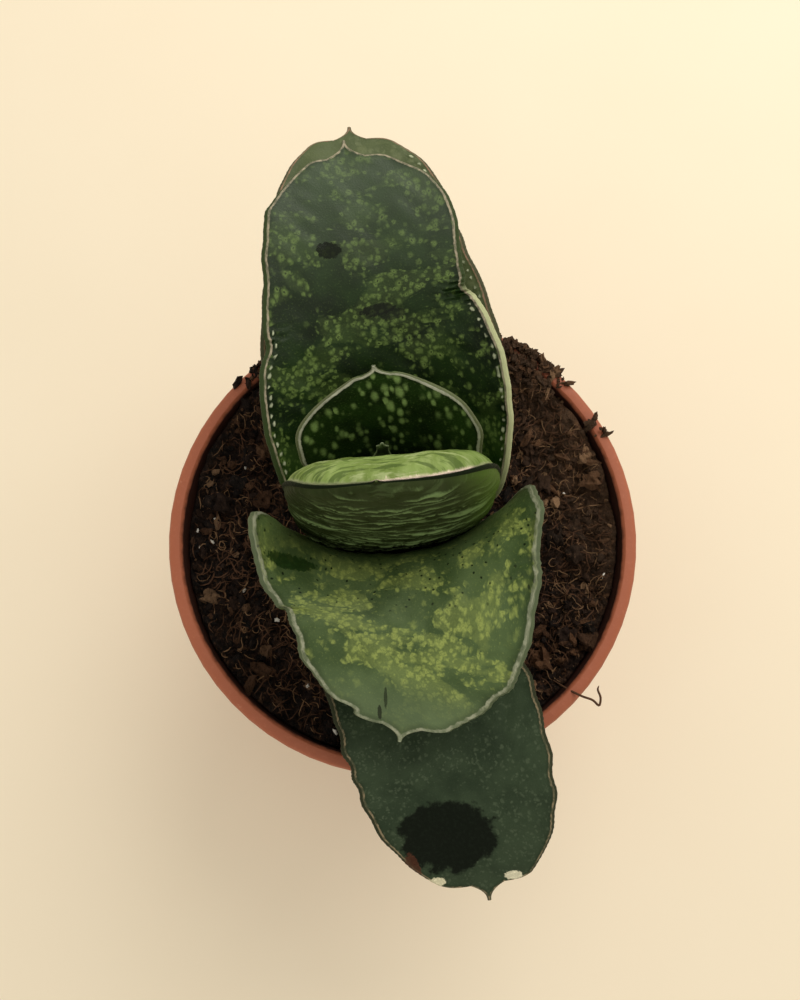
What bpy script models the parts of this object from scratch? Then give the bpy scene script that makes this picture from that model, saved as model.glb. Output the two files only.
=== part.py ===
"""A gasteria with two rows of thick tongue-shaped leaves, in a round plastic pot filled with peat soil.

The object stands on z = 0 with the pot's axis on the Z axis. Metres, +Z up, and the plant's lowest
leaf hangs over the rim toward -Y. The tables are in millimetres and are scaled by MM.
"""

import math
import random
from collections import namedtuple

import bmesh
import bpy
import numpy as np

MM = 0.001
GAP = 0.3

# Pot
RIM_RADIUS = 60.0
RIM_HEIGHT = 95.0
LIP_WIDTH = 3.7
BAND_HEIGHT = 12.5
BASE_RADIUS = 42.0
FLOOR_THICKNESS = 3.6
RECESS_DEPTH = 2.0
RECESS_INNER, RECESS_OUTER = 18.0, 37.0
DRAIN_HOLES = 8
DRAIN_RADIUS = 4.0
DRAIN_CIRCLE = 27.5
POT_SEGMENTS = 64

# Crown and roots
CROWN_TOP = 89.7
CROWN_CENTRE_Y = 4.0
CROWN_SIDES = 32
ROOT_SIDES = 8
ROOT_START = 66.0
ROOT_RADIUS, ROOT_TIP_RADIUS = 2.6, 1.2
# Direction in degrees, reach and depth of each root.
ROOTS = [(20, 26, 34), (105, 22, 40), (190, 27, 30), (285, 30, 38)]

# Soil
SOIL_LEVEL = 86.6
SOIL_RINGS = 15
SOIL_SEGMENTS = 64
SOIL_SLOPE = 0.02
# Broad heaps of the soil's top: x, y, height and the square of the spread.
HEAPS = [(34, 34, 3.0, 330.0), (-36, 26, 1.2, 260.0)]
CLODS = 60
CLOD_REACH = 54.0
CLOD_SEED = 11

# Leaves: the section across a leaf is a lens on a margin of even thickness. A flat leaf keeps the
# share TIP_BODY of its lens at the tip. Columns crowd toward the margins, rows toward the tip.
TIP_BODY = 0.3
CROWDING = 0.55
ROWS_BEFORE_TIP = 14
ROWS_IN_TIP = 12
COLUMNS = 10
# The cross ridges of a leaf run closer together on its right side by this share.
RIDGE_SLANT = 0.15

# The hard point at a leaf's tip: its end, its rows and how sharply the margins sweep in to it.
POINT_END_HALF = 0.15
POINT_END_THICKNESS = 0.6
POINT_STEPS = np.array([0.15, 0.35, 0.6, 1.0])
POINT_SWEEP = 2.4

# A station of a leaf: its share of the length, the point of the middle of the upper face,
# half the width, how far each half wraps round (degrees) and the thickness in the middle.
Station = namedtuple("Station", "u x y z half wrap thick")

# row: the side of the plant that the leaf leans to. yaw: turn of its width about Z, in degrees.
# tip_from: where the round tip starts. blunt: how square the tip is. edge: thickness of the margin.
# point: length and sideways shift of the hard point. flare: half its width at its root.
# waves: number and depth of the waves in the margin. bulge: how much of the thickness stands up from
# the upper face. lens: how long the section keeps its thickness, and how bluntly it then ends.
# ridges: number and depth of the cross ridges on the outer face.
# notch: place, side, depth and spread of a dent in the margin.
Leaf = namedtuple(
    "Leaf",
    "name row yaw tip_from blunt edge point flare waves stations bulge lens ridges notch",
    defaults=(0.0, (2.2, 0.8), (0, 0.0), None),
)

LEAVES = [
    Leaf(
        name="leaf_1_lower", row="front", yaw=14, tip_from=0.62, blunt=2.6, edge=1.6,
        point=(4.2, 3.6), flare=4.0, waves=(9, 0.35),
        stations=[
            Station(0.00, 0.0, -17.0, 90.0, 17.0, 40, 4.5),
            Station(0.18, 1.0, -25.0, 99.0, 22.0, 30, 5.5),
            Station(0.40, 6.8, -41.0, 105.0, 23.0, 16, 6.0),
            Station(0.65, 11.8, -57.0, 106.0, 22.2, 8, 5.0),
            Station(0.85, 14.8, -72.4, 103.5, 21.4, 6, 4.2),
            Station(1.00, 16.4, -84.6, 99.4, 19.5, 4, 3.2),
        ],
    ),
    Leaf(
        name="leaf_2_back", row="back", yaw=5, tip_from=0.7, blunt=2.6, edge=1.5,
        point=(3.8, -2.0), flare=4.2, waves=(8, 0.3),
        stations=[
            Station(0.00, 0.0, 23.5, 90.0, 20.0, 32, 4.5),
            Station(0.16, -2.0, 28.0, 101.0, 29.0, 36, 5.5),
            Station(0.40, -6.0, 46.0, 111.0, 29.2, 30, 6.0),
            Station(0.65, -9.6, 69.0, 117.0, 23.4, 16, 5.0),
            Station(0.85, -10.6, 86.2, 119.0, 19.6, 8, 4.0),
            Station(1.00, -11.4, 97.8, 118.0, 17.6, 6, 3.0),
        ],
    ),
    Leaf(
        name="leaf_3_front", row="front", yaw=5.5, tip_from=0.7, blunt=2.4, edge=1.7,
        point=(3.4, 2.8), flare=4.4, waves=(10, 0.45), notch=(0.968, -1, 0.2, 0.012),
        stations=[
            Station(0.00, -1.0, -5.4, 90.0, 19.0, 34, 5.5),
            Station(0.25, -1.0, -6.8, 104.0, 28.0, 38, 6.5),
            Station(0.45, -0.8, -9.6, 117.0, 35.6, 46, 6.5),
            Station(0.65, 1.4, -23.5, 123.5, 28.0, 28, 6.0),
            Station(0.85, -0.9, -37.2, 123.0, 23.4, 14, 5.0),
            Station(1.00, -2.9, -47.6, 120.2, 20.0, 8, 3.5),
        ],
    ),
    Leaf(
        name="leaf_4_big", row="back", yaw=4, tip_from=0.72, blunt=2.3, edge=1.8,
        point=(4.4, -2.1), flare=4.6, waves=(9, 0.25), notch=(0.60, 1, 0.06, 0.02),
        stations=[
            Station(0.00, -1.0, 15.5, 90.0, 20.0, 55, 5.5),
            Station(0.22, -2.0, 20.5, 105.0, 30.0, 58, 6.5),
            Station(0.42, -4.6, 33.0, 118.0, 30.5, 42, 6.5),
            Station(0.65, -9.2, 54.0, 129.0, 22.8, 20, 6.0),
            Station(0.85, -10.0, 72.4, 134.0, 21.6, 10, 5.0),
            Station(1.00, -11.4, 83.8, 134.0, 18.4, 6, 3.5),
        ],
    ),
    Leaf(
        name="leaf_5_thick", row="front", yaw=5, tip_from=0.7, blunt=2.1, edge=1.6,
        point=(1.6, -3.5), flare=1.4, waves=(6, 0.3), bulge=0.62, lens=(3.4, 0.55), ridges=(15, 0.5),
        stations=[
            Station(0.00, -2.0, 0.6, 90.0, 15.5, 24, 8.0),
            Station(0.30, -2.0, 0.2, 108.0, 22.5, 20, 12.4),
            Station(0.60, -2.0, 0.3, 128.0, 23.6, 24, 13.2),
            Station(0.85, -2.0, 1.8, 145.0, 23.2, 18, 12.5),
            Station(1.00, -2.0, 1.2, 152.6, 22.0, 8, 10.5),
        ],
    ),
    Leaf(
        name="leaf_6_inner", row="back", yaw=1, tip_from=0.62, blunt=1.9, edge=1.3,
        point=(3.0, 0.0), flare=3.0, waves=(6, 0.25),
        stations=[
            Station(0.00, -1.0, 11.5, 90.0, 12.0, 30, 2.8),
            Station(0.30, -2.0, 14.0, 107.0, 17.5, 32, 4.0),
            Station(0.60, -3.0, 18.0, 125.0, 21.0, 26, 4.0),
            Station(0.85, -4.5, 22.3, 138.5, 20.0, 14, 3.2),
            Station(1.00, -5.8, 25.4, 145.8, 15.5, 8, 2.2),
        ],
    ),
    Leaf(
        name="leaf_7_tip", row="front", yaw=0, tip_from=0.55, blunt=1.3, edge=0.9,
        point=(1.6, 0.0), flare=1.2, waves=(4, 0.1),
        stations=[
            Station(0.00, -3.2, 8.9, 90.0, 4.0, 10, 1.6),
            Station(0.50, -4.1, 10.8, 113.0, 4.4, 12, 2.0),
            Station(1.00, -4.6, 13.4, 133.4, 3.6, 10, 1.4),
        ],
    ),
]

# Colour and roughness of each piece.
FINISH = {
    "pot": ((0.36, 0.13, 0.07), 0.55),
    "soil": ((0.055, 0.035, 0.025), 0.95),
    "stem": ((0.22, 0.18, 0.10), 0.80),
    "leaf_1_lower": ((0.045, 0.075, 0.060), 0.45),
    "leaf_2_back": ((0.080, 0.120, 0.075), 0.50),
    "leaf_3_front": ((0.110, 0.190, 0.060), 0.42),
    "leaf_4_big": ((0.045, 0.110, 0.045), 0.42),
    "leaf_5_thick": ((0.120, 0.190, 0.060), 0.40),
    "leaf_6_inner": ((0.020, 0.055, 0.022), 0.42),
    "leaf_7_tip": ((0.130, 0.200, 0.075), 0.42),
}


def clear_scene():
    for obj in list(bpy.data.objects):
        bpy.data.objects.remove(obj, do_unlink=True)


def make_material(name):
    colour, roughness = FINISH[name]
    material = bpy.data.materials.new(name)
    material.use_nodes = True
    shader = material.node_tree.nodes["Principled BSDF"]
    shader.inputs["Base Color"].default_value = (*colour, 1.0)
    shader.inputs["Roughness"].default_value = roughness
    shader.inputs["Metallic"].default_value = 0.0
    return material


def add_object(name, bm):
    """Turns a bmesh in millimetres into an object in metres, with its faces facing out."""
    bmesh.ops.recalc_face_normals(bm, faces=bm.faces)
    if bm.calc_volume(signed=True) < 0:
        bmesh.ops.reverse_faces(bm, faces=bm.faces)
    bmesh.ops.scale(bm, vec=(MM, MM, MM), verts=bm.verts)
    mesh = bpy.data.meshes.new(name)
    bm.to_mesh(mesh)
    bm.free()
    obj = bpy.data.objects.new(name, mesh)
    bpy.context.scene.collection.objects.link(obj)
    return obj


def hide_cutter(obj):
    obj.hide_render = True
    obj.display_type = "WIRE"


def add_boolean(obj, cutter, operation):
    modifier = obj.modifiers.new(operation.lower() + "_" + cutter.name, "BOOLEAN")
    modifier.operation = operation
    modifier.object = cutter
    modifier.solver = "EXACT"
    hide_cutter(cutter)


def turned(profile, segments):
    """A bmesh turned about the Z axis from a closed outline of (radius, height) points."""
    bm = bmesh.new()
    points = [bm.verts.new((radius, 0.0, height)) for radius, height in profile]
    edges = [bm.edges.new(pair) for pair in zip(points, points[1:])]
    whole_turn = 2 * math.pi
    bmesh.ops.spin(
        bm,
        geom=points + edges,
        cent=(0, 0, 0),
        axis=(0, 0, 1),
        angle=whole_turn,
        steps=segments,
        use_merge=True,
    )
    bmesh.ops.remove_doubles(bm, verts=bm.verts, dist=1e-4)
    return bm


# Pot: tapered wall, a stepped band under the lip and a foot ring round a recessed floor.
def pot_inside():
    """The inside of the pot, from the lip down to the floor, as (radius, height)."""
    lip_inside = RIM_RADIUS - LIP_WIDTH
    return [
        (lip_inside, RIM_HEIGHT - 0.8),
        (lip_inside - 0.6, RIM_HEIGHT - BAND_HEIGHT + 1.5),
        (lip_inside - 2.6, RIM_HEIGHT - BAND_HEIGHT - 1.0),
        (BASE_RADIUS - 1.6, FLOOR_THICKNESS + 2.0),
        (BASE_RADIUS - 3.6, FLOOR_THICKNESS),
    ]


def make_pot():
    inside = pot_inside()
    outside = [
        (0.0, 0.0),
        (RECESS_INNER, 0.0),
        (RECESS_INNER, RECESS_DEPTH),
        (RECESS_OUTER, RECESS_DEPTH),
        (RECESS_OUTER, 0.0),
        (BASE_RADIUS - 0.8, 0.0),
        (BASE_RADIUS, 0.8),
        (RIM_RADIUS - 4.8, RIM_HEIGHT - BAND_HEIGHT - 1.0),
        (RIM_RADIUS - 1.8, RIM_HEIGHT - BAND_HEIGHT),
        (RIM_RADIUS, RIM_HEIGHT - 1.2),
        (RIM_RADIUS - 0.5, RIM_HEIGHT - 0.3),
        (RIM_RADIUS - 1.2, RIM_HEIGHT),
        (RIM_RADIUS - LIP_WIDTH + 0.8, RIM_HEIGHT),
    ]
    pot = add_object("pot", turned(outside + inside + [(0.0, FLOOR_THICKNESS)], POT_SEGMENTS))
    holes = bmesh.new()
    for index in range(DRAIN_HOLES):
        turn = 2 * math.pi * (index + 0.5) / DRAIN_HOLES
        ring = bmesh.ops.create_cone(
            holes, cap_ends=True, segments=16, radius1=DRAIN_RADIUS, radius2=DRAIN_RADIUS, depth=10.0
        )
        place = (DRAIN_CIRCLE * math.cos(turn), DRAIN_CIRCLE * math.sin(turn), FLOOR_THICKNESS / 2)
        bmesh.ops.translate(holes, verts=ring["verts"], vec=place)
    add_boolean(pot, add_object("drain_holes", holes), "DIFFERENCE")
    return pot


# Crown and roots: a short oval rootstock with thick roots, grown as one piece.
def ring_of(centre, across, along, sides):
    """Points of an oval ring, from its centre and its two half axes."""
    turns = [2 * math.pi * k / sides for k in range(sides)]
    return [centre + across * math.cos(t) + along * math.sin(t) for t in turns]


def skin_rings(bm, rings):
    """Joins rings of equal point counts into a closed tube with flat ends."""
    loops = [[bm.verts.new(point) for point in ring] for ring in rings]
    for low, high in zip(loops, loops[1:]):
        for k in range(len(low)):
            after = (k + 1) % len(low)
            bm.faces.new((low[k], low[after], high[after], high[k]))
    bm.faces.new(loops[0][::-1])
    bm.faces.new(loops[-1])


def rootstock(grow):
    """The oval crown under the leaves, tapering down. Its sides stand out by grow, for the soil's hole."""
    levels = [
        (CROWN_TOP, 20.5, 22.5),
        (84.0, 20.5, 22.5),
        (78.0, 15.0, 17.0),
        (68.0, 9.0, 10.0),
        (56.0, 5.5, 6.0),
        (48.0, 4.0, 4.5),
    ]
    x_axis, y_axis = np.array([1.0, 0.0, 0.0]), np.array([0.0, 1.0, 0.0])
    rings = []
    for index, (height, half_x, half_y) in enumerate(levels):
        if grow and index == 0:
            height = RIM_HEIGHT + 5.0
        if index == len(levels) - 1:
            height -= grow
        centre = np.array([0.0, CROWN_CENTRE_Y, height])
        rings.append(ring_of(centre, x_axis * (half_x + grow), y_axis * (half_y + grow), CROWN_SIDES))
    bm = bmesh.new()
    skin_rings(bm, rings)
    return bm


def root(turn, reach, depth, grow):
    """One thick root that runs out from the rootstock and bends down."""
    out = np.array([math.cos(turn), math.sin(turn), 0.0])
    side = np.array([-math.sin(turn), math.cos(turn), 0.0])
    start = np.array([0.0, CROWN_CENTRE_Y, ROOT_START])
    rings = []
    for t in np.linspace(0.0, 1.0, 7):
        centre = start + out * reach * math.sin(t * math.pi / 2) - np.array([0, 0, depth * t * t])
        ahead = out * reach * math.cos(t * math.pi / 2) * math.pi / 2 - np.array([0, 0, 2 * depth * t])
        ahead = ahead / np.linalg.norm(ahead)
        radius = ROOT_RADIUS + (ROOT_TIP_RADIUS - ROOT_RADIUS) * t + grow
        if t == 1.0:
            centre = centre + ahead * grow
        rings.append(ring_of(centre, side * radius, np.cross(ahead, side) * radius, ROOT_SIDES))
    bm = bmesh.new()
    skin_rings(bm, rings)
    return bm


def make_root_system(name, grow):
    base = add_object(name, rootstock(grow))
    for index, (degrees, reach, depth) in enumerate(ROOTS, start=1):
        branch = add_object(f"{name}_root_{index}", root(math.radians(degrees), reach, depth, grow))
        add_boolean(base, branch, "UNION")
    return base


# Soil: fills the pot, with a clodded top that is a little higher behind the plant, to the right.
def clod_list():
    """Lumps and hollows of the soil's top, as (x, y, size, lift)."""
    rng = random.Random(CLOD_SEED)
    clods = []
    for _ in range(CLODS):
        radius, turn = CLOD_REACH * math.sqrt(rng.random()), rng.uniform(0, 2 * math.pi)
        size, lift = rng.uniform(2.5, 6.0), rng.uniform(-0.9, 1.5)
        clods.append((radius * math.cos(turn), radius * math.sin(turn), size, lift))
    return clods


def soil_height(x, y, clods):
    """Height of the soil's top at a point, held down under the leaves' bases."""
    height = SOIL_LEVEL + SOIL_SLOPE * y
    for heap_x, heap_y, rise, spread in HEAPS:
        height += rise * math.exp(-((x - heap_x) ** 2 + (y - heap_y) ** 2) / spread)
    lumps = 0.0
    for clod_x, clod_y, size, lift in clods:
        lumps += lift * math.exp(-((x - clod_x) ** 2 + (y - clod_y) ** 2) / size**2)
    crown = math.exp(-((x / 26.0) ** 2 + ((y - CROWN_CENTRE_Y) / 30.0) ** 2) ** 2)
    return height + lumps * (1 - 0.8 * crown)


def make_soil():
    inside = pot_inside()
    clods = clod_list()
    wall = [(radius - GAP, height) for radius, height in inside[1:3]]
    wall += [(inside[3][0] - GAP, inside[3][1]), (inside[4][0] - GAP, inside[4][1] + GAP)]
    top_radius = wall[0][0] - 0.1
    turns = [2 * math.pi * k / SOIL_SEGMENTS for k in range(SOIL_SEGMENTS)]
    bm = bmesh.new()
    loops = []
    for ring in range(1, SOIL_RINGS + 1):
        radius = top_radius * ring / SOIL_RINGS
        points = [(radius * math.cos(t), radius * math.sin(t)) for t in turns]
        loops.append([bm.verts.new((x, y, soil_height(x, y, clods))) for x, y in points])
    for radius, height in wall:
        loops.append([bm.verts.new((radius * math.cos(t), radius * math.sin(t), height)) for t in turns])
    for near, far in zip(loops, loops[1:]):
        for k in range(SOIL_SEGMENTS):
            after = (k + 1) % SOIL_SEGMENTS
            bm.faces.new((near[k], near[after], far[after], far[k]))
    middle = bm.verts.new((0.0, 0.0, soil_height(0.0, 0.0, clods)))
    for k in range(SOIL_SEGMENTS):
        bm.faces.new((middle, loops[0][k], loops[0][(k + 1) % SOIL_SEGMENTS]))
    bm.faces.new(loops[-1])
    soil = add_object("soil", bm)
    add_boolean(soil, make_root_system("root_hole", GAP), "DIFFERENCE")
    return soil


# Leaves: each is a closed skin round a curved middle line.
def through_stations(stations, u):
    """A smooth curve through every column of the stations, read at the shares u of the length."""
    table = np.array([tuple(station) for station in stations])
    knots, values = table[:, 0], table[:, 1:]
    slopes = np.gradient(values, knots, axis=0)
    i = np.clip(np.searchsorted(knots, u, side="right") - 1, 0, len(knots) - 2)
    span = (knots[i + 1] - knots[i])[:, None]
    t = (u[:, None] - knots[i][:, None]) / span
    start = (2 * t**3 - 3 * t**2 + 1) * values[i] + (t**3 - 2 * t**2 + t) * span * slopes[i]
    end = (-2 * t**3 + 3 * t**2) * values[i + 1] + (t**3 - t**2) * span * slopes[i + 1]
    return start + end


def leaf_rows(leaf):
    """Shares of the length where the leaf has a row of points, closer together in the round tip."""
    before = np.linspace(0, leaf.tip_from, ROWS_BEFORE_TIP, endpoint=False)
    turn = np.linspace(0, math.pi / 2, ROWS_IN_TIP)
    return np.concatenate([before, leaf.tip_from + (1 - leaf.tip_from) * np.sin(turn)])


def unit(vectors):
    return vectors / np.linalg.norm(vectors, axis=-1, keepdims=True)


def margin_factor(leaf, u, side):
    """How the waves and the notch of the margin change half the width on one side."""
    count, depth = leaf.waves
    factor = 1 + depth / 25.0 * np.sin(2 * math.pi * count * u + side) * np.clip(u * 3, 0, 1)
    if leaf.notch:
        place, notch_side, cut, spread = leaf.notch
        if side == notch_side:
            factor = factor - cut * np.exp(-(((u - place) / spread) ** 2))
    return factor


def leaf_path(leaf):
    """What the leaf is at each row: its middle, its directions, its two half widths and its sizes."""
    u = leaf_rows(leaf)
    path = through_stations(leaf.stations, u)
    centre, half = path[:, 0:3], path[:, 3]
    into_tip = np.clip((u - leaf.tip_from) / (1 - leaf.tip_from), 0, 1)
    cap = np.clip(1 - into_tip**leaf.blunt, 0, 1) ** (1 / leaf.blunt)
    forward = unit(np.gradient(centre, u, axis=0))
    yaw = math.radians(leaf.yaw)
    right = np.array([math.cos(yaw), math.sin(yaw), 0.0])
    across = unit(right - forward * (forward @ right)[:, None])
    shift, flare = leaf.point[1] * into_tip**2, leaf.flare * into_tip**12
    return {
        "u": u,
        "centre": centre + across * shift[:, None],
        "forward": forward,
        "across": across,
        "face": np.cross(across, forward) * (1 if leaf.row == "back" else -1),
        "left": half * cap * margin_factor(leaf, u, -1) + flare,
        "right": half * cap * margin_factor(leaf, u, 1) + flare,
        "curl": np.radians(path[:, 4]) / half,
        "thick": path[:, 5],
        "edge": leaf.edge * (0.5 + 0.5 * cap),
        "cap": cap,
    }


def add_point(rows, leaf):
    """The rows with those of the hard point after them."""
    more = {key: np.repeat(value[-1:], len(POINT_STEPS), axis=0) for key, value in rows.items()}
    more["centre"] = more["centre"] + more["forward"] * (leaf.point[0] * POINT_STEPS)[:, None]
    half = POINT_END_HALF + (leaf.flare - POINT_END_HALF) * (1 - POINT_STEPS) ** POINT_SWEEP
    more["left"], more["right"] = half, half
    for key in ("thick", "edge"):
        more[key] = more[key] + (POINT_END_THICKNESS - more[key]) * POINT_STEPS
    return {key: np.concatenate([rows[key], more[key]]) for key in rows}


def leaf_points(leaf):
    """Two grids of points, the upper and the outer face, by row and column."""
    rows = add_point(leaf_path(leaf), leaf)
    s = np.linspace(-1, 1, COLUMNS + 1)
    s = CROWDING * np.sin(s * math.pi / 2) + (1 - CROWDING) * s
    arc = s * np.where(s < 0, rows["left"][:, None], rows["right"][:, None])
    curl, edge, cap = (rows[key][:, None] for key in ("curl", "edge", "cap"))
    turn = curl * arc
    sideways, lift = np.sin(turn) / curl, (1 - np.cos(turn)) / curl
    full = cap if leaf.bulge else TIP_BODY + (1 - TIP_BODY) * cap
    swell = np.maximum(rows["thick"][:, None] - edge, 0) * full
    lens = np.clip(1 - np.abs(s) ** leaf.lens[0], 0, 1) ** leaf.lens[1]
    across, face = rows["across"][:, None], rows["face"][:, None]
    normal = face * np.cos(turn)[..., None] - across * np.sin(turn)[..., None]
    middle = rows["centre"][:, None] + across * sideways[..., None] + face * lift[..., None]
    raised = leaf.bulge * swell * lens
    count, ridge = leaf.ridges
    wave = np.sin(2 * math.pi * count * rows["u"][:, None] * (1 + RIDGE_SLANT * (s - 1)))
    ridged = ridge * wave * lens * cap**0.5
    upper = middle + normal * raised[..., None]
    outer = middle - normal * (edge + swell * lens - raised + ridged)[..., None]
    for grid in (upper, outer):
        grid[..., 2] = np.maximum(grid[..., 2], CROWN_TOP + GAP)
    return upper, outer


def make_leaf(leaf):
    upper, outer = leaf_points(leaf)
    bm = bmesh.new()
    top = [[bm.verts.new(point) for point in row] for row in upper]
    low = [[bm.verts.new(point) for point in row] for row in outer]
    for row in range(len(top) - 1):
        for k in range(COLUMNS):
            bm.faces.new((top[row][k], top[row][k + 1], top[row + 1][k + 1], top[row + 1][k]))
            bm.faces.new((low[row][k], low[row + 1][k], low[row + 1][k + 1], low[row][k + 1]))
        bm.faces.new((top[row][0], top[row + 1][0], low[row + 1][0], low[row][0]))
        bm.faces.new((top[row][-1], low[row][-1], low[row + 1][-1], top[row + 1][-1]))
    for k in range(COLUMNS):
        bm.faces.new((top[0][k], low[0][k], low[0][k + 1], top[0][k + 1]))
        bm.faces.new((top[-1][k], top[-1][k + 1], low[-1][k + 1], low[-1][k]))
    return add_object(leaf.name, bm)


def main():
    clear_scene()
    pieces = [make_pot(), make_soil(), make_root_system("stem", 0.0)]
    pieces += [make_leaf(leaf) for leaf in LEAVES]
    for piece in pieces:
        piece.data.materials.append(make_material(piece.name))


main()
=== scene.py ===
# %% [markdown]
# # A potted gasteria
# The plant has thick tongue-shaped leaves in two opposite rows, and stands in a round pot of peat.
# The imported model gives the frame: every piece below is made at its real place in metres, over the
# plain solid that it dresses. Looks come from dense meshes and from node materials, with no images.

# %% Load the frame
import math
import random

import bpy
import numpy as np
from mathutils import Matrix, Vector, noise


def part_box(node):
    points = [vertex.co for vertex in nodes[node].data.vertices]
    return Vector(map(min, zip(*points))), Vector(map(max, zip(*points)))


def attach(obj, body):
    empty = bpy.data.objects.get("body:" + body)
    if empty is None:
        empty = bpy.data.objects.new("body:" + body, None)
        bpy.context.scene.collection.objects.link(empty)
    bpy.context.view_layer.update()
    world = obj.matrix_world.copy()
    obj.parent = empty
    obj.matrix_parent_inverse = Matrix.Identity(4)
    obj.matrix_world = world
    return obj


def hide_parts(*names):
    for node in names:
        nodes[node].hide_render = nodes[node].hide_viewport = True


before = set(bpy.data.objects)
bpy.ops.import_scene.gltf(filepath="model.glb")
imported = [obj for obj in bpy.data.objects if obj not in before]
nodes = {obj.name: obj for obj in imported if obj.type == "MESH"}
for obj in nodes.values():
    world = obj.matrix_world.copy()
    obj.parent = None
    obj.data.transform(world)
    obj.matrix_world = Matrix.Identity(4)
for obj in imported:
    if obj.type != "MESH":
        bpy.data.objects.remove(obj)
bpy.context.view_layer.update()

MM = 0.001
FULL_TURN = 2 * math.pi
print("nodes:", ", ".join(sorted(nodes)))

# %% [markdown]
# ## Camera, light and floor
# The plant is seen from above, a little from the front: the pot's rim is an almost round oval. The
# oval's two widths give the tilt, and the rim's width gives the distance. The light is one big soft
# window behind the plant and to the right, with a pale world that fills the shadows.

# %% Camera
CAMERA_PLACE = (-0.000665, -0.04745, 0.36092)
CAMERA_TILT = 12.0
LENS = 38.0
FLOOR_SIZE = 6.0


def deselect_all():
    bpy.ops.object.select_all(action="DESELECT")


def add_camera():
    bpy.ops.object.camera_add(location=CAMERA_PLACE, rotation=(math.radians(CAMERA_TILT), 0, 0))
    camera = bpy.context.object
    camera.data.lens = LENS
    camera.data.clip_start = 0.01
    bpy.context.scene.camera = camera
    return camera


deselect_all()
camera = add_camera()
print("camera at", [round(v, 3) for v in camera.location])

# %% Light
WINDOW_PLACE = (0.25, 0.45, 0.62)
WINDOW_SIZE = 0.6
WINDOW_WATTS = 2.7
WINDOW_COLOUR = (1.0, 0.965, 0.90)
SKY_COLOUR = (1.0, 0.95, 0.85)
SKY_STRENGTH = 0.72


def aim(obj, target):
    obj.rotation_euler = (Vector(target) - obj.location).to_track_quat("-Z", "Y").to_euler()


def add_window(place, size, watts, colour):
    bpy.ops.object.light_add(type="AREA", location=place)
    lamp = bpy.context.object
    lamp.data.shape = "DISK"
    lamp.data.size = size
    lamp.data.energy = watts
    lamp.data.color = colour
    aim(lamp, (0, 0, 0.1))
    return lamp


window = add_window(WINDOW_PLACE, WINDOW_SIZE, WINDOW_WATTS, WINDOW_COLOUR)
world = bpy.data.worlds.new("soft_room")
world.use_nodes = True
world.node_tree.nodes["Background"].inputs["Color"].default_value = (*SKY_COLOUR, 1)
world.node_tree.nodes["Background"].inputs["Strength"].default_value = SKY_STRENGTH
bpy.context.scene.world = world
bpy.context.scene.view_settings.view_transform = "Standard"
bpy.context.scene.view_settings.look = "None"
print("window", window.data.energy, "W, sky", SKY_STRENGTH)

# %% [markdown]
# ## A small kit for node materials
# Every finish here is a net of nodes that feeds one Principled shader. Written out by hand, each node
# takes several lines, so this class adds a node, sets or links its inputs, and hands back its result.
# Colours are given as the eye sees them, from 0 to 255, and turned into the linear values Blender wants.

# %% Material kit
def seen(red, green, blue):
    """A colour read as on a screen, 0 to 255, as linear values."""
    return tuple(
        ((v / 255 + 0.055) / 1.055) ** 2.4 if v > 10 else v / 255 / 12.92 for v in (red, green, blue)
    )


def darker(colour, share):
    """A seen colour with only this share of its brightness."""
    return tuple(int(v * share) for v in colour)


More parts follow.
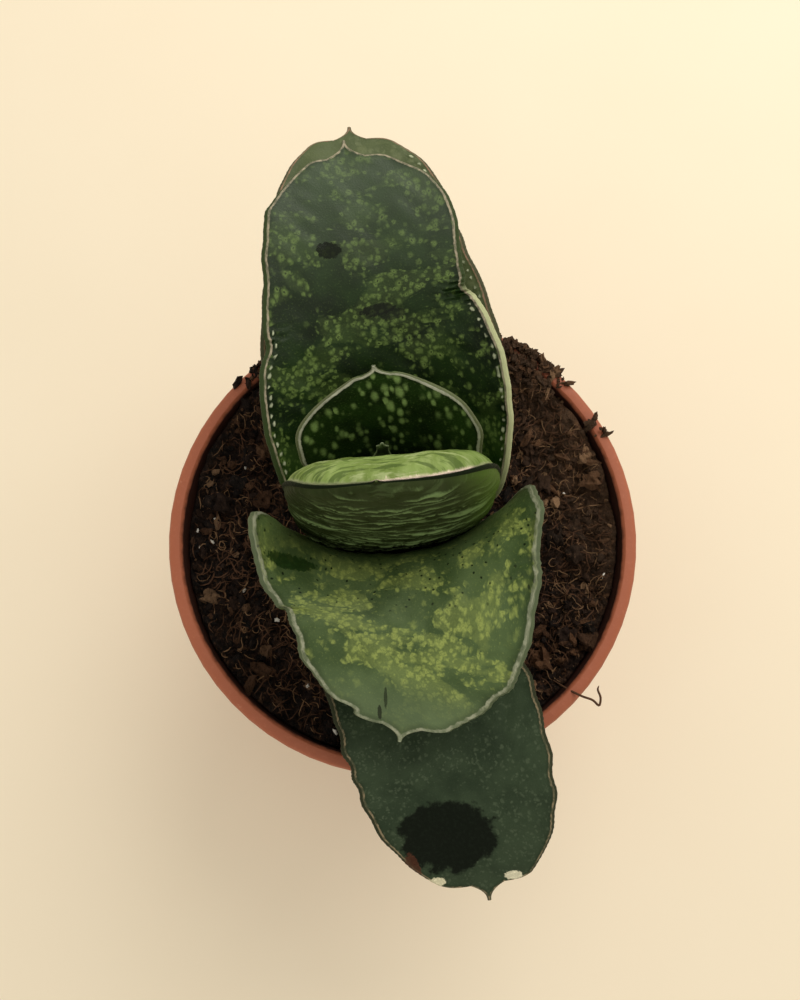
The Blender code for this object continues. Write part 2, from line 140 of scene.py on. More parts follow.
class Finish:
    """A node material built step by step around one Principled shader."""

    def __init__(self, name, roughness=0.5, specular=0.5):
        self.material = bpy.data.materials.new(name)
        self.material.use_nodes = True
        self.tree = self.material.node_tree
        self.shader = self.tree.nodes["Principled BSDF"]
        self.shader.inputs["Roughness"].default_value = roughness
        self.shader.inputs["Specular IOR Level"].default_value = specular

    def put(self, socket, value):
        if hasattr(value, "is_linked"):
            self.tree.links.new(value, socket)
        elif isinstance(value, tuple) and len(value) == 3 and len(socket.default_value) == 4:
            socket.default_value = (*value, 1.0)
        else:
            socket.default_value = value

    def add(self, kind, inputs=(), **settings):
        node = self.tree.nodes.new(kind)
        for key, value in settings.items():
            setattr(node, key, value)
        for key, value in dict(inputs).items():
            self.put(node.inputs[key], value)
        return node

    def maths(self, operation, a, b=0.0):
        return self.add("ShaderNodeMath", {0: a, 1: b}, operation=operation).outputs[0]

    def vectors(self, operation, a, b):
        return self.add("ShaderNodeVectorMath", {0: a, 1: b}, operation=operation).outputs[0]

    def times(self, value, *others):
        for other in others:
            value = self.maths("MULTIPLY", value, other)
        return value

    def plus(self, value, *others):
        for other in others:
            value = self.maths("ADD", value, other)
        return value

    def step(self, x, low, high, start=0.0, end=1.0):
        """Runs smoothly from start to end as x goes from low to high."""
        ends = {0: x, 1: low, 2: high, 3: start, 4: end}
        return self.add("ShaderNodeMapRange", ends, interpolation_type="SMOOTHSTEP").outputs[0]

    def mix(self, share, a, b):
        """Colour a, turning into b as share goes from 0 to 1. Plain colours are given as seen."""
        node = self.add("ShaderNodeMix", {"Factor": share}, data_type="RGBA")
        for socket, colour in ((6, a), (7, b)):
            self.put(node.inputs[socket], seen(*colour) if isinstance(colour, tuple) else colour)
        return node.outputs[2]

    def attribute(self, name):
        return self.add("ShaderNodeAttribute", attribute_name=name).outputs["Fac"]

    def place(self):
        """Object coordinates, in millimetres."""
        where = self.add("ShaderNodeTexCoord").outputs["Object"]
        return self.stretched(where, (1 / MM, 1 / MM, 1 / MM))

    def vector(self, x, y, z=0.0):
        return self.add("ShaderNodeCombineXYZ", {0: x, 1: y, 2: z}).outputs[0]

    def stretched(self, where, scale):
        return self.add("ShaderNodeMapping", {"Vector": where, "Scale": scale}).outputs[0]

    def noise(self, where, period, detail=3.0, rough=0.5, warp=0.0):
        """Smooth noise whose lumps are about one period wide."""
        inputs = {"Vector": where, "Scale": 1 / period, "Detail": detail}
        inputs.update({"Roughness": rough, "Distortion": warp})
        return self.add("ShaderNodeTexNoise", inputs).outputs["Fac"]

    def sway(self, amount, *settings):
        """Noise that runs to both sides of zero, over a range of about amount."""
        return self.times(self.maths("SUBTRACT", self.noise(*settings), 0.5), amount)

    def cells(self, where, period, scatter=1.0):
        """Distance to the nearest cell centre, and one random number for each cell."""
        inputs = {"Vector": where, "Scale": 1 / period, "Randomness": scatter}
        node = self.add("ShaderNodeTexVoronoi", inputs, voronoi_dimensions="3D", feature="F1")
        chance = self.add("ShaderNodeSeparateXYZ", {0: node.outputs["Color"]}).outputs[0]
        return node.outputs["Distance"], chance

    def colour(self, value):
        self.put(self.shader.inputs["Base Color"], value)

    def roughness(self, value):
        self.put(self.shader.inputs["Roughness"], value)

    def bump(self, height, depth_mm):
        """Fine relief on the shader's normal, as deep as depth_mm where height goes from 0 to 1."""
        node = self.add("ShaderNodeBump", {"Height": height, "Distance": depth_mm * MM, "Strength": 1.0})
        self.put(self.shader.inputs["Normal"], node.outputs[0])


def paint_piece(obj, material):
    obj.data.materials.clear()
    obj.data.materials.append(material)


print("kit ready")

# %% Floor
FLOOR_SINK = 0.0002


def add_floor():
    deselect_all()
    bpy.ops.mesh.primitive_plane_add(size=FLOOR_SIZE, location=(0, 0, -FLOOR_SINK))
    floor = bpy.context.object
    floor.name = "pale_floor"
    paper = Finish("pale_paper", roughness=0.9, specular=0.1)
    grain = paper.noise(paper.place(), 60.0, 4.0)
    paper.colour(paper.mix(grain, (252, 240, 216), (249, 236, 211)))
    paint_piece(floor, paper.material)
    return floor


floor = add_floor()
print("floor", FLOOR_SIZE, "m wide")

# %% [markdown]
# ## The leaves' shapes
# A gasteria leaf is a thick tongue: it rises from the crown, arches over and ends in a round tip with
# a small hard point. Its shape is a curved middle line with a width, a wrap round its neighbours and a
# thickness that change along it. So each leaf is a short list of stations, in millimetres: the share
# of its length, the place of the middle of its upper face, half its width, how far each half wraps
# round in degrees, and its thickness. Smooth curves run through the stations.

# %% Leaf stations
LEAVES = {
    "leaf_1_lower": dict(
        row="front", yaw=14, tip_from=0.62, blunt=2.6, edge=1.6, point=(4.2, 3.6), flare=4.0,
        stations=[
            (0.00, 0.0, -17.0, 90.0, 17.0, 40, 4.5),
            (0.18, 1.0, -25.0, 99.0, 22.0, 30, 5.5),
            (0.40, 6.8, -41.0, 105.0, 23.0, 16, 6.0),
            (0.65, 11.8, -57.0, 106.0, 22.2, 8, 5.0),
            (0.85, 14.8, -72.4, 103.5, 21.4, 6, 4.2),
            (1.00, 16.4, -84.6, 99.4, 19.5, 4, 3.2),
        ],
    ),
    "leaf_2_back": dict(
        row="back", yaw=5, tip_from=0.70, blunt=2.6, edge=1.5, point=(3.8, -2.0), flare=4.2,
        stations=[
            (0.00, 0.0, 23.5, 90.0, 20.0, 32, 4.5),
            (0.16, -2.0, 28.0, 101.0, 29.0, 36, 5.5),
            (0.40, -6.0, 46.0, 111.0, 29.2, 30, 6.0),
            (0.65, -9.6, 69.0, 117.0, 23.4, 16, 5.0),
            (0.85, -10.6, 86.2, 119.0, 19.6, 8, 4.0),
            (1.00, -11.4, 97.8, 118.0, 17.6, 6, 3.0),
        ],
    ),
    "leaf_3_front": dict(
        row="front", yaw=5.5, tip_from=0.70, blunt=2.4, edge=1.7, point=(3.4, 2.8), flare=4.4,
        stations=[
            (0.00, -1.0, -5.4, 90.0, 19.0, 34, 5.5),
            (0.25, -1.0, -6.8, 104.0, 28.0, 38, 6.5),
            (0.45, -0.8, -9.6, 117.0, 35.6, 46, 6.5),
            (0.65, 1.4, -23.5, 123.5, 28.0, 28, 6.0),
            (0.85, -0.9, -37.2, 123.0, 23.4, 14, 5.0),
            (1.00, -2.9, -47.6, 120.2, 20.0, 8, 3.5),
        ],
    ),
    "leaf_4_big": dict(
        row="back", yaw=4, tip_from=0.72, blunt=2.3, edge=1.8, point=(4.4, -2.1), flare=4.6,
        stations=[
            (0.00, -1.0, 15.5, 90.0, 20.0, 55, 5.5),
            (0.22, -2.0, 20.5, 105.0, 30.0, 58, 6.5),
            (0.42, -4.6, 33.0, 118.0, 30.5, 42, 6.5),
            (0.65, -9.2, 54.0, 129.0, 22.8, 20, 6.0),
            (0.85, -10.0, 72.4, 134.0, 21.6, 10, 5.0),
            (1.00, -11.4, 83.8, 134.0, 18.4, 6, 3.5),
        ],
    ),
    "leaf_5_thick": dict(
        row="front", yaw=5, tip_from=0.70, blunt=2.1, edge=1.6, point=(1.6, -3.5), flare=1.4,
        bulge=0.62, lens=(3.4, 0.55),
        stations=[
            (0.00, -2.0, 0.6, 90.0, 15.5, 24, 8.0),
            (0.30, -2.0, 0.2, 108.0, 22.5, 20, 12.4),
            (0.60, -2.0, 0.3, 128.0, 23.6, 24, 13.2),
            (0.85, -2.0, 1.8, 145.0, 23.2, 18, 12.5),
            (1.00, -2.0, 1.2, 152.6, 22.0, 8, 10.5),
        ],
    ),
    "leaf_6_inner": dict(
        row="back", yaw=1, tip_from=0.62, blunt=1.9, edge=1.3, point=(3.0, 0.0), flare=3.0,
        stations=[
            (0.00, -1.0, 11.5, 90.0, 12.0, 30, 2.8),
            (0.30, -2.0, 14.0, 107.0, 17.5, 32, 4.0),
            (0.60, -3.0, 18.0, 125.0, 21.0, 26, 4.0),
            (0.85, -4.5, 22.3, 138.5, 20.0, 14, 3.2),
            (1.00, -5.8, 25.4, 145.8, 15.5, 8, 2.2),
        ],
    ),
    "leaf_7_tip": dict(
        row="front", yaw=0, tip_from=0.55, blunt=1.3, edge=0.9, point=(1.6, 0.0), flare=1.2,
        stations=[
            (0.00, -3.2, 8.9, 90.0, 4.0, 10, 1.6),
            (0.50, -4.1, 10.8, 113.0, 4.4, 12, 2.0),
            (1.00, -4.6, 13.4, 133.4, 3.6, 10, 1.4),
        ],
    ),
}
print(len(LEAVES), "leaves")

# %% [markdown]
# ## What marks each leaf's surface
# Up close the leaves differ more than in outline. Margins are toothed or waved, some have a row of
# raised white dots inside them, skins pucker where they bend, and the thick upright leaf is wrinkled
# all over. These are raised or sunk by formulas in millimetres, so that they are real relief.

# %% Leaf marks
# waves: count and depth of the margin's long waves. teeth: spacing and height of its small teeth.
# knobs: (side, from, to, spacing) rows of raised dots. notches: (place, side, cut, spread) dents.
# puckers: (place, side, reach, depth) cross wrinkles at a margin. wrinkles: spacing and depth.
MARKS = {
    "leaf_1_lower": dict(waves=(9, 0.35), teeth=(1.1, 0.16)),
    "leaf_2_back": dict(waves=(8, 0.3), teeth=(1.3, 0.10), knobs=[(-1, 0.2, 0.8, 2.2), (1, 0.2, 0.9, 2.2)]),
    "leaf_3_front": dict(
        waves=(10, 0.45), teeth=(1.5, 0.28), notches=[(0.968, -1, 0.2, 0.012)],
        puckers=[(0.60, 1, 9.0, 0.35), (0.72, 1, 8.0, 0.35), (0.66, -1, 5.0, 0.2)],
    ),
    "leaf_4_big": dict(
        waves=(9, 0.25), teeth=(1.6, 0.10), notches=[(0.60, 1, 0.06, 0.02), (0.56, -1, 0.04, 0.02)],
        knobs=[(-1, 0.12, 0.56, 2.1), (1, 0.16, 0.54, 1.9)],
        puckers=[(0.585, 1, 6.0, 0.5), (0.62, 1, 8.0, 0.3), (0.57, -1, 5.0, 0.4)],
    ),
    "leaf_5_thick": dict(waves=(6, 0.3), teeth=(1.4, 0.1), wrinkles=(2.7, 0.85)),
    "leaf_6_inner": dict(waves=(6, 0.25), teeth=(1.2, 0.06)),
    "leaf_7_tip": dict(waves=(4, 0.1), teeth=(1.0, 0.05)),
}
# The hard point: its end, its rows and how sharply the margins sweep in to it.
POINT_END_HALF, POINT_END_THICKNESS = 0.15, 0.6
POINT_STEPS = np.linspace(0, 1, 13)[1:]
POINT_SWEEP = 2.4
# No leaf goes below the base. A flat leaf keeps the share TIP_BODY of its thickness at the tip.
LEAF_BASE, TIP_BODY = 90.0, 0.3
# Rows along the leaf, columns across it, which crowd toward the margins, and points round a margin.
ROWS_BEFORE_TIP, ROWS_IN_TIP = 144, 68
COLUMNS, EDGE_POINTS, CROWDING = 56, 7, 0.6
KNOB_INSET, KNOB_HEIGHT, KNOB_LENGTH = 1.25, 0.32, 1.25
PUCKER_SPREAD, FOLD_SPACING = 0.022, 1.5
RIPPLE_WAVES = 9
print("marks for", len(MARKS), "leaves")


# %% Curves through the stations
def through_stations(stations, u):
    """Every column of the stations, read along a smooth curve at the shares u of the length."""
    table = np.array(stations)
    knots, values = table[:, 0], table[:, 1:]
    slopes = np.gradient(values, knots, axis=0)
    i = np.clip(np.searchsorted(knots, u, side="right") - 1, 0, len(knots) - 2)
    span = (knots[i + 1] - knots[i])[:, None]
    t = (u[:, None] - knots[i][:, None]) / span
    start = (2 * t**3 - 3 * t**2 + 1) * values[i] + (t**3 - 2 * t**2 + t) * span * slopes[i]
    end = (-2 * t**3 + 3 * t**2) * values[i + 1] + (t**3 - t**2) * span * slopes[i + 1]
    return start + end


def unit(vectors):
    return vectors / np.linalg.norm(vectors, axis=-1, keepdims=True)


def ripple(x, y, period, seed):
    """Smooth noise between about -1 and 1, as a sum of waves that run every way."""
    rng = np.random.default_rng(seed)
    total = np.zeros(np.broadcast(x, y).shape)
    for _ in range(RIPPLE_WAVES):
        turn, phase, stretch = rng.uniform(0, FULL_TURN), rng.uniform(0, FULL_TURN), rng.uniform(0.6, 1.7)
        total += np.sin((x * math.cos(turn) + y * math.sin(turn)) * FULL_TURN / (period * stretch) + phase)
    return total / math.sqrt(RIPPLE_WAVES)


# %% A leaf as a grid of points
def margin_shift(marks, u, along, side, seed):
    """How much the margin stands out, in millimetres, and the factor that its dents leave of the width."""
    count, depth = marks["waves"]
    spacing, height = marks["teeth"]
    wave = np.sin(FULL_TURN * count * u + side)
    shift = 0.6 * depth * wave + 0.5 * depth * ripple(along, side * 9.0, 7.0, seed)
    saw = np.abs(((along / spacing + 0.3 * ripple(along, 0.0, 9.0, seed + 1)) % 1.0) - 0.5) * 2
    shift = shift + height * (saw - 0.5)
    factor = np.ones_like(u)
    for place, dent_side, cut, spread in marks.get("notches", []):
        if dent_side == side:
            factor = factor - cut * np.exp(-(((u - place) / spread) ** 2))
    return shift * np.clip(u * 3, 0, 1), factor


def leaf_path(spec, marks, seed):
    """What the leaf is at each row before its hard point: directions, half widths, thickness."""
    turn = np.linspace(0, math.pi / 2, ROWS_IN_TIP)
    before = np.linspace(0, spec["tip_from"], ROWS_BEFORE_TIP, endpoint=False)
    u = np.concatenate([before, spec["tip_from"] + (1 - spec["tip_from"]) * np.sin(turn)])
    path = through_stations(spec["stations"], u)
    centre, half = path[:, 0:3], path[:, 3]
    along = np.concatenate([[0], np.cumsum(np.linalg.norm(np.diff(centre, axis=0), axis=1))])
    into_tip = np.clip((u - spec["tip_from"]) / (1 - spec["tip_from"]), 0, 1)
    cap = np.clip(1 - into_tip ** spec["blunt"], 0, 1) ** (1 / spec["blunt"])
    forward = unit(np.gradient(centre, u, axis=0))
    yaw = math.radians(spec["yaw"])
    right = np.array([math.cos(yaw), math.sin(yaw), 0.0])
    across = unit(right - forward * (forward @ right)[:, None])
    shift, flare = spec["point"][1] * into_tip**2, spec["flare"] * into_tip**12
    rows = dict(
        share=u, along=along, centre=centre + across * shift[:, None], forward=forward, across=across,
        face=np.cross(across, forward) * (1 if spec["row"] == "back" else -1),
        curl=np.radians(path[:, 4]) / half, thick=path[:, 5], cap=cap, edge=spec["edge"] * (0.5 + 0.5 * cap),
    )
    for key, side in (("left", -1), ("right", 1)):
        teeth, factor = margin_shift(marks, u, along, side, seed)
        rows[key] = half * cap * factor + teeth * np.clip(cap * 3, 0, 1) + flare
    return rows


def leaf_sheet(name):
    """The rows of the leaf with those of its hard point, and what marks it, all in millimetres."""
    spec, marks = LEAVES[name], MARKS[name]
    seed = sum(map(ord, name))
    rows = leaf_path(spec, marks, seed)
    more = {key: np.repeat(value[-1:], len(POINT_STEPS), axis=0) for key, value in rows.items()}
    reach = spec["point"][0] * POINT_STEPS
    more["centre"] = more["centre"] + more["forward"] * reach[:, None]
    more["along"] = more["along"] + reach
    sweep = POINT_END_HALF + (spec["flare"] - POINT_END_HALF) * (1 - POINT_STEPS) ** POINT_SWEEP
    more["left"], more["right"] = sweep, sweep
    for key in ("thick", "edge"):
        more[key] = more[key] + (POINT_END_THICKNESS - more[key]) * POINT_STEPS
    sheet = {key: np.concatenate([rows[key], more[key]]) for key in rows}
    return dict(sheet, spec=spec, marks=marks, seed=seed)


# %% Relief on the leaf's two faces
def knob_field(sheet, arc, gap):
    """Raised dots in rows inside the margins, from 0 to 1, by distance from each dot."""
    field = np.zeros_like(arc)
    rng = np.random.default_rng(sheet["seed"] + 5)
    total = sheet["along"][-1]
    for side, start, end, spacing in sheet["marks"].get("knobs", []):
        for at in np.arange(start * total, end * total, spacing):
            at = at + rng.uniform(-0.4, 0.4)
            inside, size = KNOB_INSET + rng.uniform(-0.2, 0.2), rng.uniform(0.34, 0.52)
            near = np.hypot((sheet["along"][:, None] - at) / KNOB_LENGTH, gap - inside) / size
            field = np.maximum(field, np.where(np.sign(arc) == side, np.clip(1.4 - near, 0, 1), 0))
    return field


def pucker_field(sheet, arc, gap):
    """Cross wrinkles where the skin folds at a margin, in millimetres."""
    field = np.zeros_like(arc)
    share = sheet["share"][:, None]
    along = sheet["along"][:, None]
    for place, side, reach, depth in sheet["marks"].get("puckers", []):
        near = np.exp(-(((share - place) / PUCKER_SPREAD) ** 2)) * np.exp(-((gap / reach) ** 2))
        folds = np.sin(FULL_TURN * along / FOLD_SPACING + ripple(arc, along, 5.0, 3) * 2.0)
        field += np.where(np.sign(arc) == side, near * depth * folds, 0)
    return field


def wrinkle_field(sheet, arc, along):
    """Wavy ridges across the leaf, which draw together toward the top of its left side."""
    spacing, depth = sheet["marks"].get("wrinkles", (1.0, 0.0))
    fan = 0.6 + 0.4 * np.clip((arc + 25.0) / 45.0, 0, 1)
    wander = 0.45 * ripple(arc * 0.35, along, 11.0, 21) + 0.22 * ripple(arc, along, 5.0, 22)
    ridge = np.sin(FULL_TURN * ((sheet["along"][-1] - along) / (spacing * fan) + wander))
    broken = 0.72 + 0.28 * ripple(arc * 0.4, along * 1.5, 7.0, 23)
    return depth * (0.5 + 0.5 * ridge) ** 1.4 * broken


def outline_distance(sheet, arc, along):
    """How far each point of the skin is from the leaf's outline, in millimetres."""
    edge_arc = np.concatenate([-sheet["left"], sheet["right"]])
    edge_along = np.concatenate([sheet["along"], sheet["along"]])
    return np.hypot(arc[..., None] - edge_arc, along[..., None] - edge_along).min(axis=-1)


# %% The leaf's ring of points
def leaf_ring(sheet):
    """Points of the closed skin, row by row, and the numbers that the material reads."""
    s = np.linspace(-1, 1, COLUMNS + 1)
    s = CROWDING * np.sin(s * math.pi / 2) + (1 - CROWDING) * s
    left, right = sheet["left"][:, None], sheet["right"][:, None]
    arc = s * np.where(s < 0, left, right)
    along = sheet["along"][:, None] + 0 * arc
    gap = outline_distance(sheet, arc, along)
    curl = sheet["curl"][:, None]
    turn = curl * arc
    sideways, lift = np.sin(turn) / curl, (1 - np.cos(turn)) / curl
    cap, edge = sheet["cap"][:, None], sheet["edge"][:, None]
    bulge = sheet["spec"].get("bulge", 0.0)
    full = cap if bulge else TIP_BODY + (1 - TIP_BODY) * cap
    body = edge + np.maximum(sheet["thick"][:, None] - edge, 0) * full
    power, roundness = sheet["spec"].get("lens", (2.2, 0.8))
    lens = np.clip(1 - np.abs(s) ** power, 0, 1) ** roundness
    depth = edge + (body - edge) * lens
    calm = np.clip(gap / 1.5, 0, 1) * np.clip(along / 12, 0, 1)
    soft = 0.22 * ripple(arc, along, 16.0, sheet["seed"]) + 0.10 * ripple(arc, along, 6.0, sheet["seed"] + 1)
    knobs = knob_field(sheet, arc, gap)
    puckers = pucker_field(sheet, arc, gap)
    wrinkles = wrinkle_field(sheet, arc, along) * lens**0.6 * cap**0.25
    upper_relief = soft * calm + KNOB_HEIGHT * knobs + puckers + 0.5 * wrinkles
    outer_relief = 0.7 * soft * calm - 0.5 * puckers + wrinkles
    face, across, centre = (sheet[key][:, None] for key in ("face", "across", "centre"))
    normal = face * np.cos(turn)[..., None] - across * np.sin(turn)[..., None]
    side_way = across * np.cos(turn)[..., None] + face * np.sin(turn)[..., None]
    middle = centre + across * sideways[..., None] + face * lift[..., None]
    raised = bulge * (depth - edge)
    upper = middle + normal * (raised + upper_relief)[..., None]
    outer = middle - normal * (depth - raised + outer_relief)[..., None]
    t = np.linspace(0, 1, EDGE_POINTS + 2)[1:-1]
    swell = 0.5 * sheet["edge"][:, None] * np.sin(t * math.pi)
    rims = []
    for column, sign in ((-1, 1), (0, -1)):
        a, b = upper[:, column, None], outer[:, column, None]
        rims.append(a + (b - a) * t[:, None] + side_way[:, column, None] * (sign * swell)[..., None])
    half_way = EDGE_POINTS // 2
    points = np.concatenate(
        [rims[1][:, half_way::-1], upper, rims[0], outer[:, ::-1], rims[1][:, :half_way - 1:-1]], axis=1
    )
    rim = np.ones_like(rims[0][..., 0])
    reads = {
        "arc": [-left * rim, arc, right * rim, arc[:, ::-1], -left * rim],
        "gap": [-swell, gap, -swell, gap[:, ::-1], -swell],
        "knob": [0 * rim, knobs, 0 * rim, 0 * arc, 0 * rim],
        "outer": [t * rim, 0 * arc, t * rim, 1 + 0 * arc, t * rim],
        "ridge": [0 * rim, 0.35 * wrinkles, 0 * rim, wrinkles[:, ::-1], 0 * rim],
    }
    values = {}
    for key, (first, top, rim_right, low, last) in reads.items():
        first, last = first[:, half_way::-1], last[:, :half_way - 1:-1]
        values[key] = np.concatenate([first, top, rim_right, low, last], axis=1)
    values["along"] = sheet["along"][:, None] + 0 * values["arc"]
    points[..., 2] = np.maximum(points[..., 2], LEAF_BASE)
    return points, values


# %% [markdown]
# ## From a flat grid to a leaf
# A plane with many cuts is the start: its columns go once round the leaf and its rows run from the
# crown to the point. The vertices are then moved to the computed skin, as a sculptor would pull them,
# the seam is merged and the two ends are filled. The millimetre distances are kept on the vertices as
# attributes, because the spots and margins of a real leaf follow its skin and not the room.

# %% Leaf maker
def keep_numbers(mesh, name, values):
    layer = mesh.attributes.new(name, "FLOAT", "POINT")
    layer.data.foreach_set("value", np.ascontiguousarray(values, np.float32).ravel())


def make_leaf(name):
    sheet = leaf_sheet(name)
    points, values = leaf_ring(sheet)
    rows, around = points.shape[:2]
    deselect_all()
    bpy.ops.mesh.primitive_grid_add(
        x_subdivisions=around - 1, y_subdivisions=rows - 1, size=2, location=(0, 0, 0)
    )
    leaf = bpy.context.object
    leaf.name = "skin_of_" + name
    flat = np.empty(len(leaf.data.vertices) * 3, np.float32)
    leaf.data.vertices.foreach_get("co", flat)
    flat = flat.reshape(-1, 3)
    column = np.rint((flat[:, 0] + 1) / 2 * (around - 1)).astype(int)
    row = np.rint((flat[:, 1] + 1) / 2 * (rows - 1)).astype(int)
    leaf.data.vertices.foreach_set("co", (points[row, column] * MM).astype(np.float32).ravel())
    for key, value in values.items():
        keep_numbers(leaf.data, key, value[row, column])
    leaf.data.update()
    bpy.ops.object.mode_set(mode="EDIT")
    bpy.ops.mesh.select_all(action="SELECT")
    bpy.ops.mesh.remove_doubles(threshold=1e-7)
    bpy.ops.mesh.fill_holes(sides=0)
    bpy.ops.mesh.select_all(action="SELECT")
    bpy.ops.mesh.normals_make_consistent(inside=False)
    bpy.ops.object.mode_set(mode="OBJECT")
    bpy.ops.object.shade_smooth_by_angle(angle=math.radians(60))
    return leaf


leaves = {name: make_leaf(name) for name in LEAVES}
print("faces of each leaf:", {name: len(leaf.data.polygons) for name, leaf in leaves.items()})

# %% [markdown]
# ## The leaves' skins
# The skin is dark green with paler spots. On most leaves the spots run together into uneven bands
# across the leaf, and each has a tiny dark dot where a pore is. The spots are cells of a Voronoi
# texture: a cell becomes a spot when its random number is under the strength of a slow banded noise.
# The margin is a thin horny line, pale and a little pink, and wet places are darker and shiny.

# %% Leaf skin parts
# Pitches of the three layers of spots, the shift between them, and a pore's fading and full radius.
LAYER_PITCHES, LAYER_SHIFT = (1.0, 0.78, 1.25), 19.0
PORE_RADIUS = (0.15, 0.05)


def warped(skin, where, period, amount):
    """The place on the skin pushed about a little, so that spots come out ragged."""
    push = skin.add("ShaderNodeTexNoise", {"Vector": where, "Scale": 1 / period, "Detail": 2.0})
    centred = skin.vectors("SUBTRACT", push.outputs["Color"], (0.5, 0.5, 0.5))
    return skin.vectors("ADD", where, skin.vectors("MULTIPLY", centred, (amount,) * 3))


def spot_layer(skin, where, likely, look, k):
    """One layer of spots where they are likely, and the dark pore in each."""
    shift = LAYER_SHIFT * k
    full, faded = look["size"]
    distance, chance = skin.cells(skin.vectors("ADD", where, (shift, shift * 2.0, shift)), look["pitch"] * k)
    there = skin.step(skin.maths("SUBTRACT", likely, chance), -0.08, 0.12)
    return [skin.times(there, skin.step(distance, *ends)) for ends in ((faded, full), PORE_RADIUS)]


def spotted(skin, where, look):
    """Three layers of spots that gather and run together in bands across the leaf."""
    where = skin.stretched(where, (1.0, look["grow"], 1.0))
    flow = skin.noise(skin.stretched(where, (0.42, 1.0, 1.0)), look["band"], 3.0, 0.55, 0.5)
    gather, share = look["gather"], look["share"]
    likely = skin.step(flow, 0.5 - gather, 0.5 + gather, share - 0.45, share + 0.45)
    ragged = warped(skin, where, 1.3, look["ragged"])
    layers = [spot_layer(skin, ragged, likely, look, k) for k in LAYER_PITCHES]
    spots, pores = layers[0]
    for spot, pore in layers[1:]:
        spots, pores = skin.maths("MAXIMUM", spots, spot), skin.maths("MAXIMUM", pores, pore)
    haze = skin.times(skin.step(likely, 0.35, 1.0), look["haze"])
    return skin.maths("MAXIMUM", spots, haze), pores


def patch(skin, arc, along, middle, size, seed):
    """1 inside a ragged patch of the skin, 0 outside."""
    x = skin.maths("DIVIDE", skin.maths("SUBTRACT", arc, middle[0]), size[0])
    y = skin.maths("DIVIDE", skin.maths("SUBTRACT", along, middle[1]), size[1])
    period = max(0.6, min(size) * 0.5)
    ragged = skin.sway(2.0, skin.vector(arc, along, seed), period, 4.0, 0.65)
    return skin.step(skin.plus(skin.times(x, x), skin.times(y, y), ragged), 1.15, 0.8)


def span(skin, x, low, high, soft):
    """1 where x lies between low and high, fading out over soft."""
    return skin.times(skin.step(x, low - soft, low), skin.step(x, high + soft, high))


def paint_margin(skin, colour, look, where, arc, along, gap):
    """The thin horny line on the margin, the margin's side and the dots inside it."""
    side_face = skin.step(gap, -0.02, -0.25)
    side_colour = skin.mix(skin.noise(where, 1.4, 4.0, 0.6), look["side"], darker(look["side"], 0.62))
    if look["thick_edge"]:
        start, end, tint = look["thick_edge"]
        pale = skin.times(span(skin, along, start, end, 5.0), skin.step(arc, 0.0, 1.0))
        blotched = skin.mix(skin.noise(where, 1.8, 4.0, 0.65), tint, darker(tint, 0.72))
        side_colour = skin.mix(pale, side_colour, blotched)
    colour = skin.mix(side_face, colour, side_colour)
    wide = look["margin_mm"]
    wander = skin.sway(1.1 * wide, where, 1.3, 4.0, 0.6)
    off = skin.maths("ABSOLUTE", skin.plus(gap, wander, -look["line_at"] * wide))
    line = skin.times(skin.step(off, wide * 0.85, wide * 0.4), skin.step(skin.attribute("outer"), 0.5, 0.2))
    worn = skin.step(skin.noise(where, 2.4, 4.0, 0.65), 0.4, 0.62, look["worn"], 1.0)
    tint = skin.mix(skin.noise(where, 3.0, 3.0), look["margin"], darker(look["margin"], 0.7))
    if look["bright"]:
        start, end, glow = look["bright"]
        tint = skin.mix(span(skin, arc, start, end, 2.0), tint, glow)
    shade = skin.times(skin.step(gap, wide * 3.2, wide), skin.step(gap, 0.0, 0.1), look["inner_shade"])
    colour = skin.mix(shade, colour, (18, 30, 12))
    colour = skin.mix(skin.times(line, worn), colour, tint)
    clear = skin.step(skin.noise(where, 6.0, 2.0), 0.3, 0.6, 0.5, 1.0)
    knob = skin.times(skin.step(skin.attribute("knob"), 0.3, 0.8), clear)
    return skin.mix(knob, colour, (196, 204, 170))


# The usual look. Spots: pitch and full and fading radius (size, in pitches), their share, how sharply
# they gather in bands, the bands' width, raggedness, haze, strength, pores, how much closer they lie
# along the leaf (grow) and where most lie (zone). Margin: its line's colour, width, wear and place, the
# side's colour, a bright part, a thick pale part (from, to, colour) and the shade inside it.
# sheen: (from, to, colour, strength), tints along the leaf: painted sheen toward
# the tips of the front and big leaves, painted shade at the front leaf's base, and plain changes of
# green at the big leaf's base and the old leaf's tip.
# patches: (middle, size, colour, strength, change of roughness).
LOOK = dict(
    pitch=2.6, share=0.5, gather=0.1, size=(0.15, 0.6), band=10.0, ragged=1.6, haze=0.25, strength=0.9,
    pores=0.5,
    margin=(196, 190, 160), margin_mm=0.7, worn=0.35, side=(74, 92, 56), bright=None, thick_edge=None,
    inner_shade=0.3, line_at=0.3, grow=1.0, zone=None, sheen=(), patches=(), rough=0.42, shine=0.18,
    outer=None, ridge=None, right_end=None, pits=None,
)


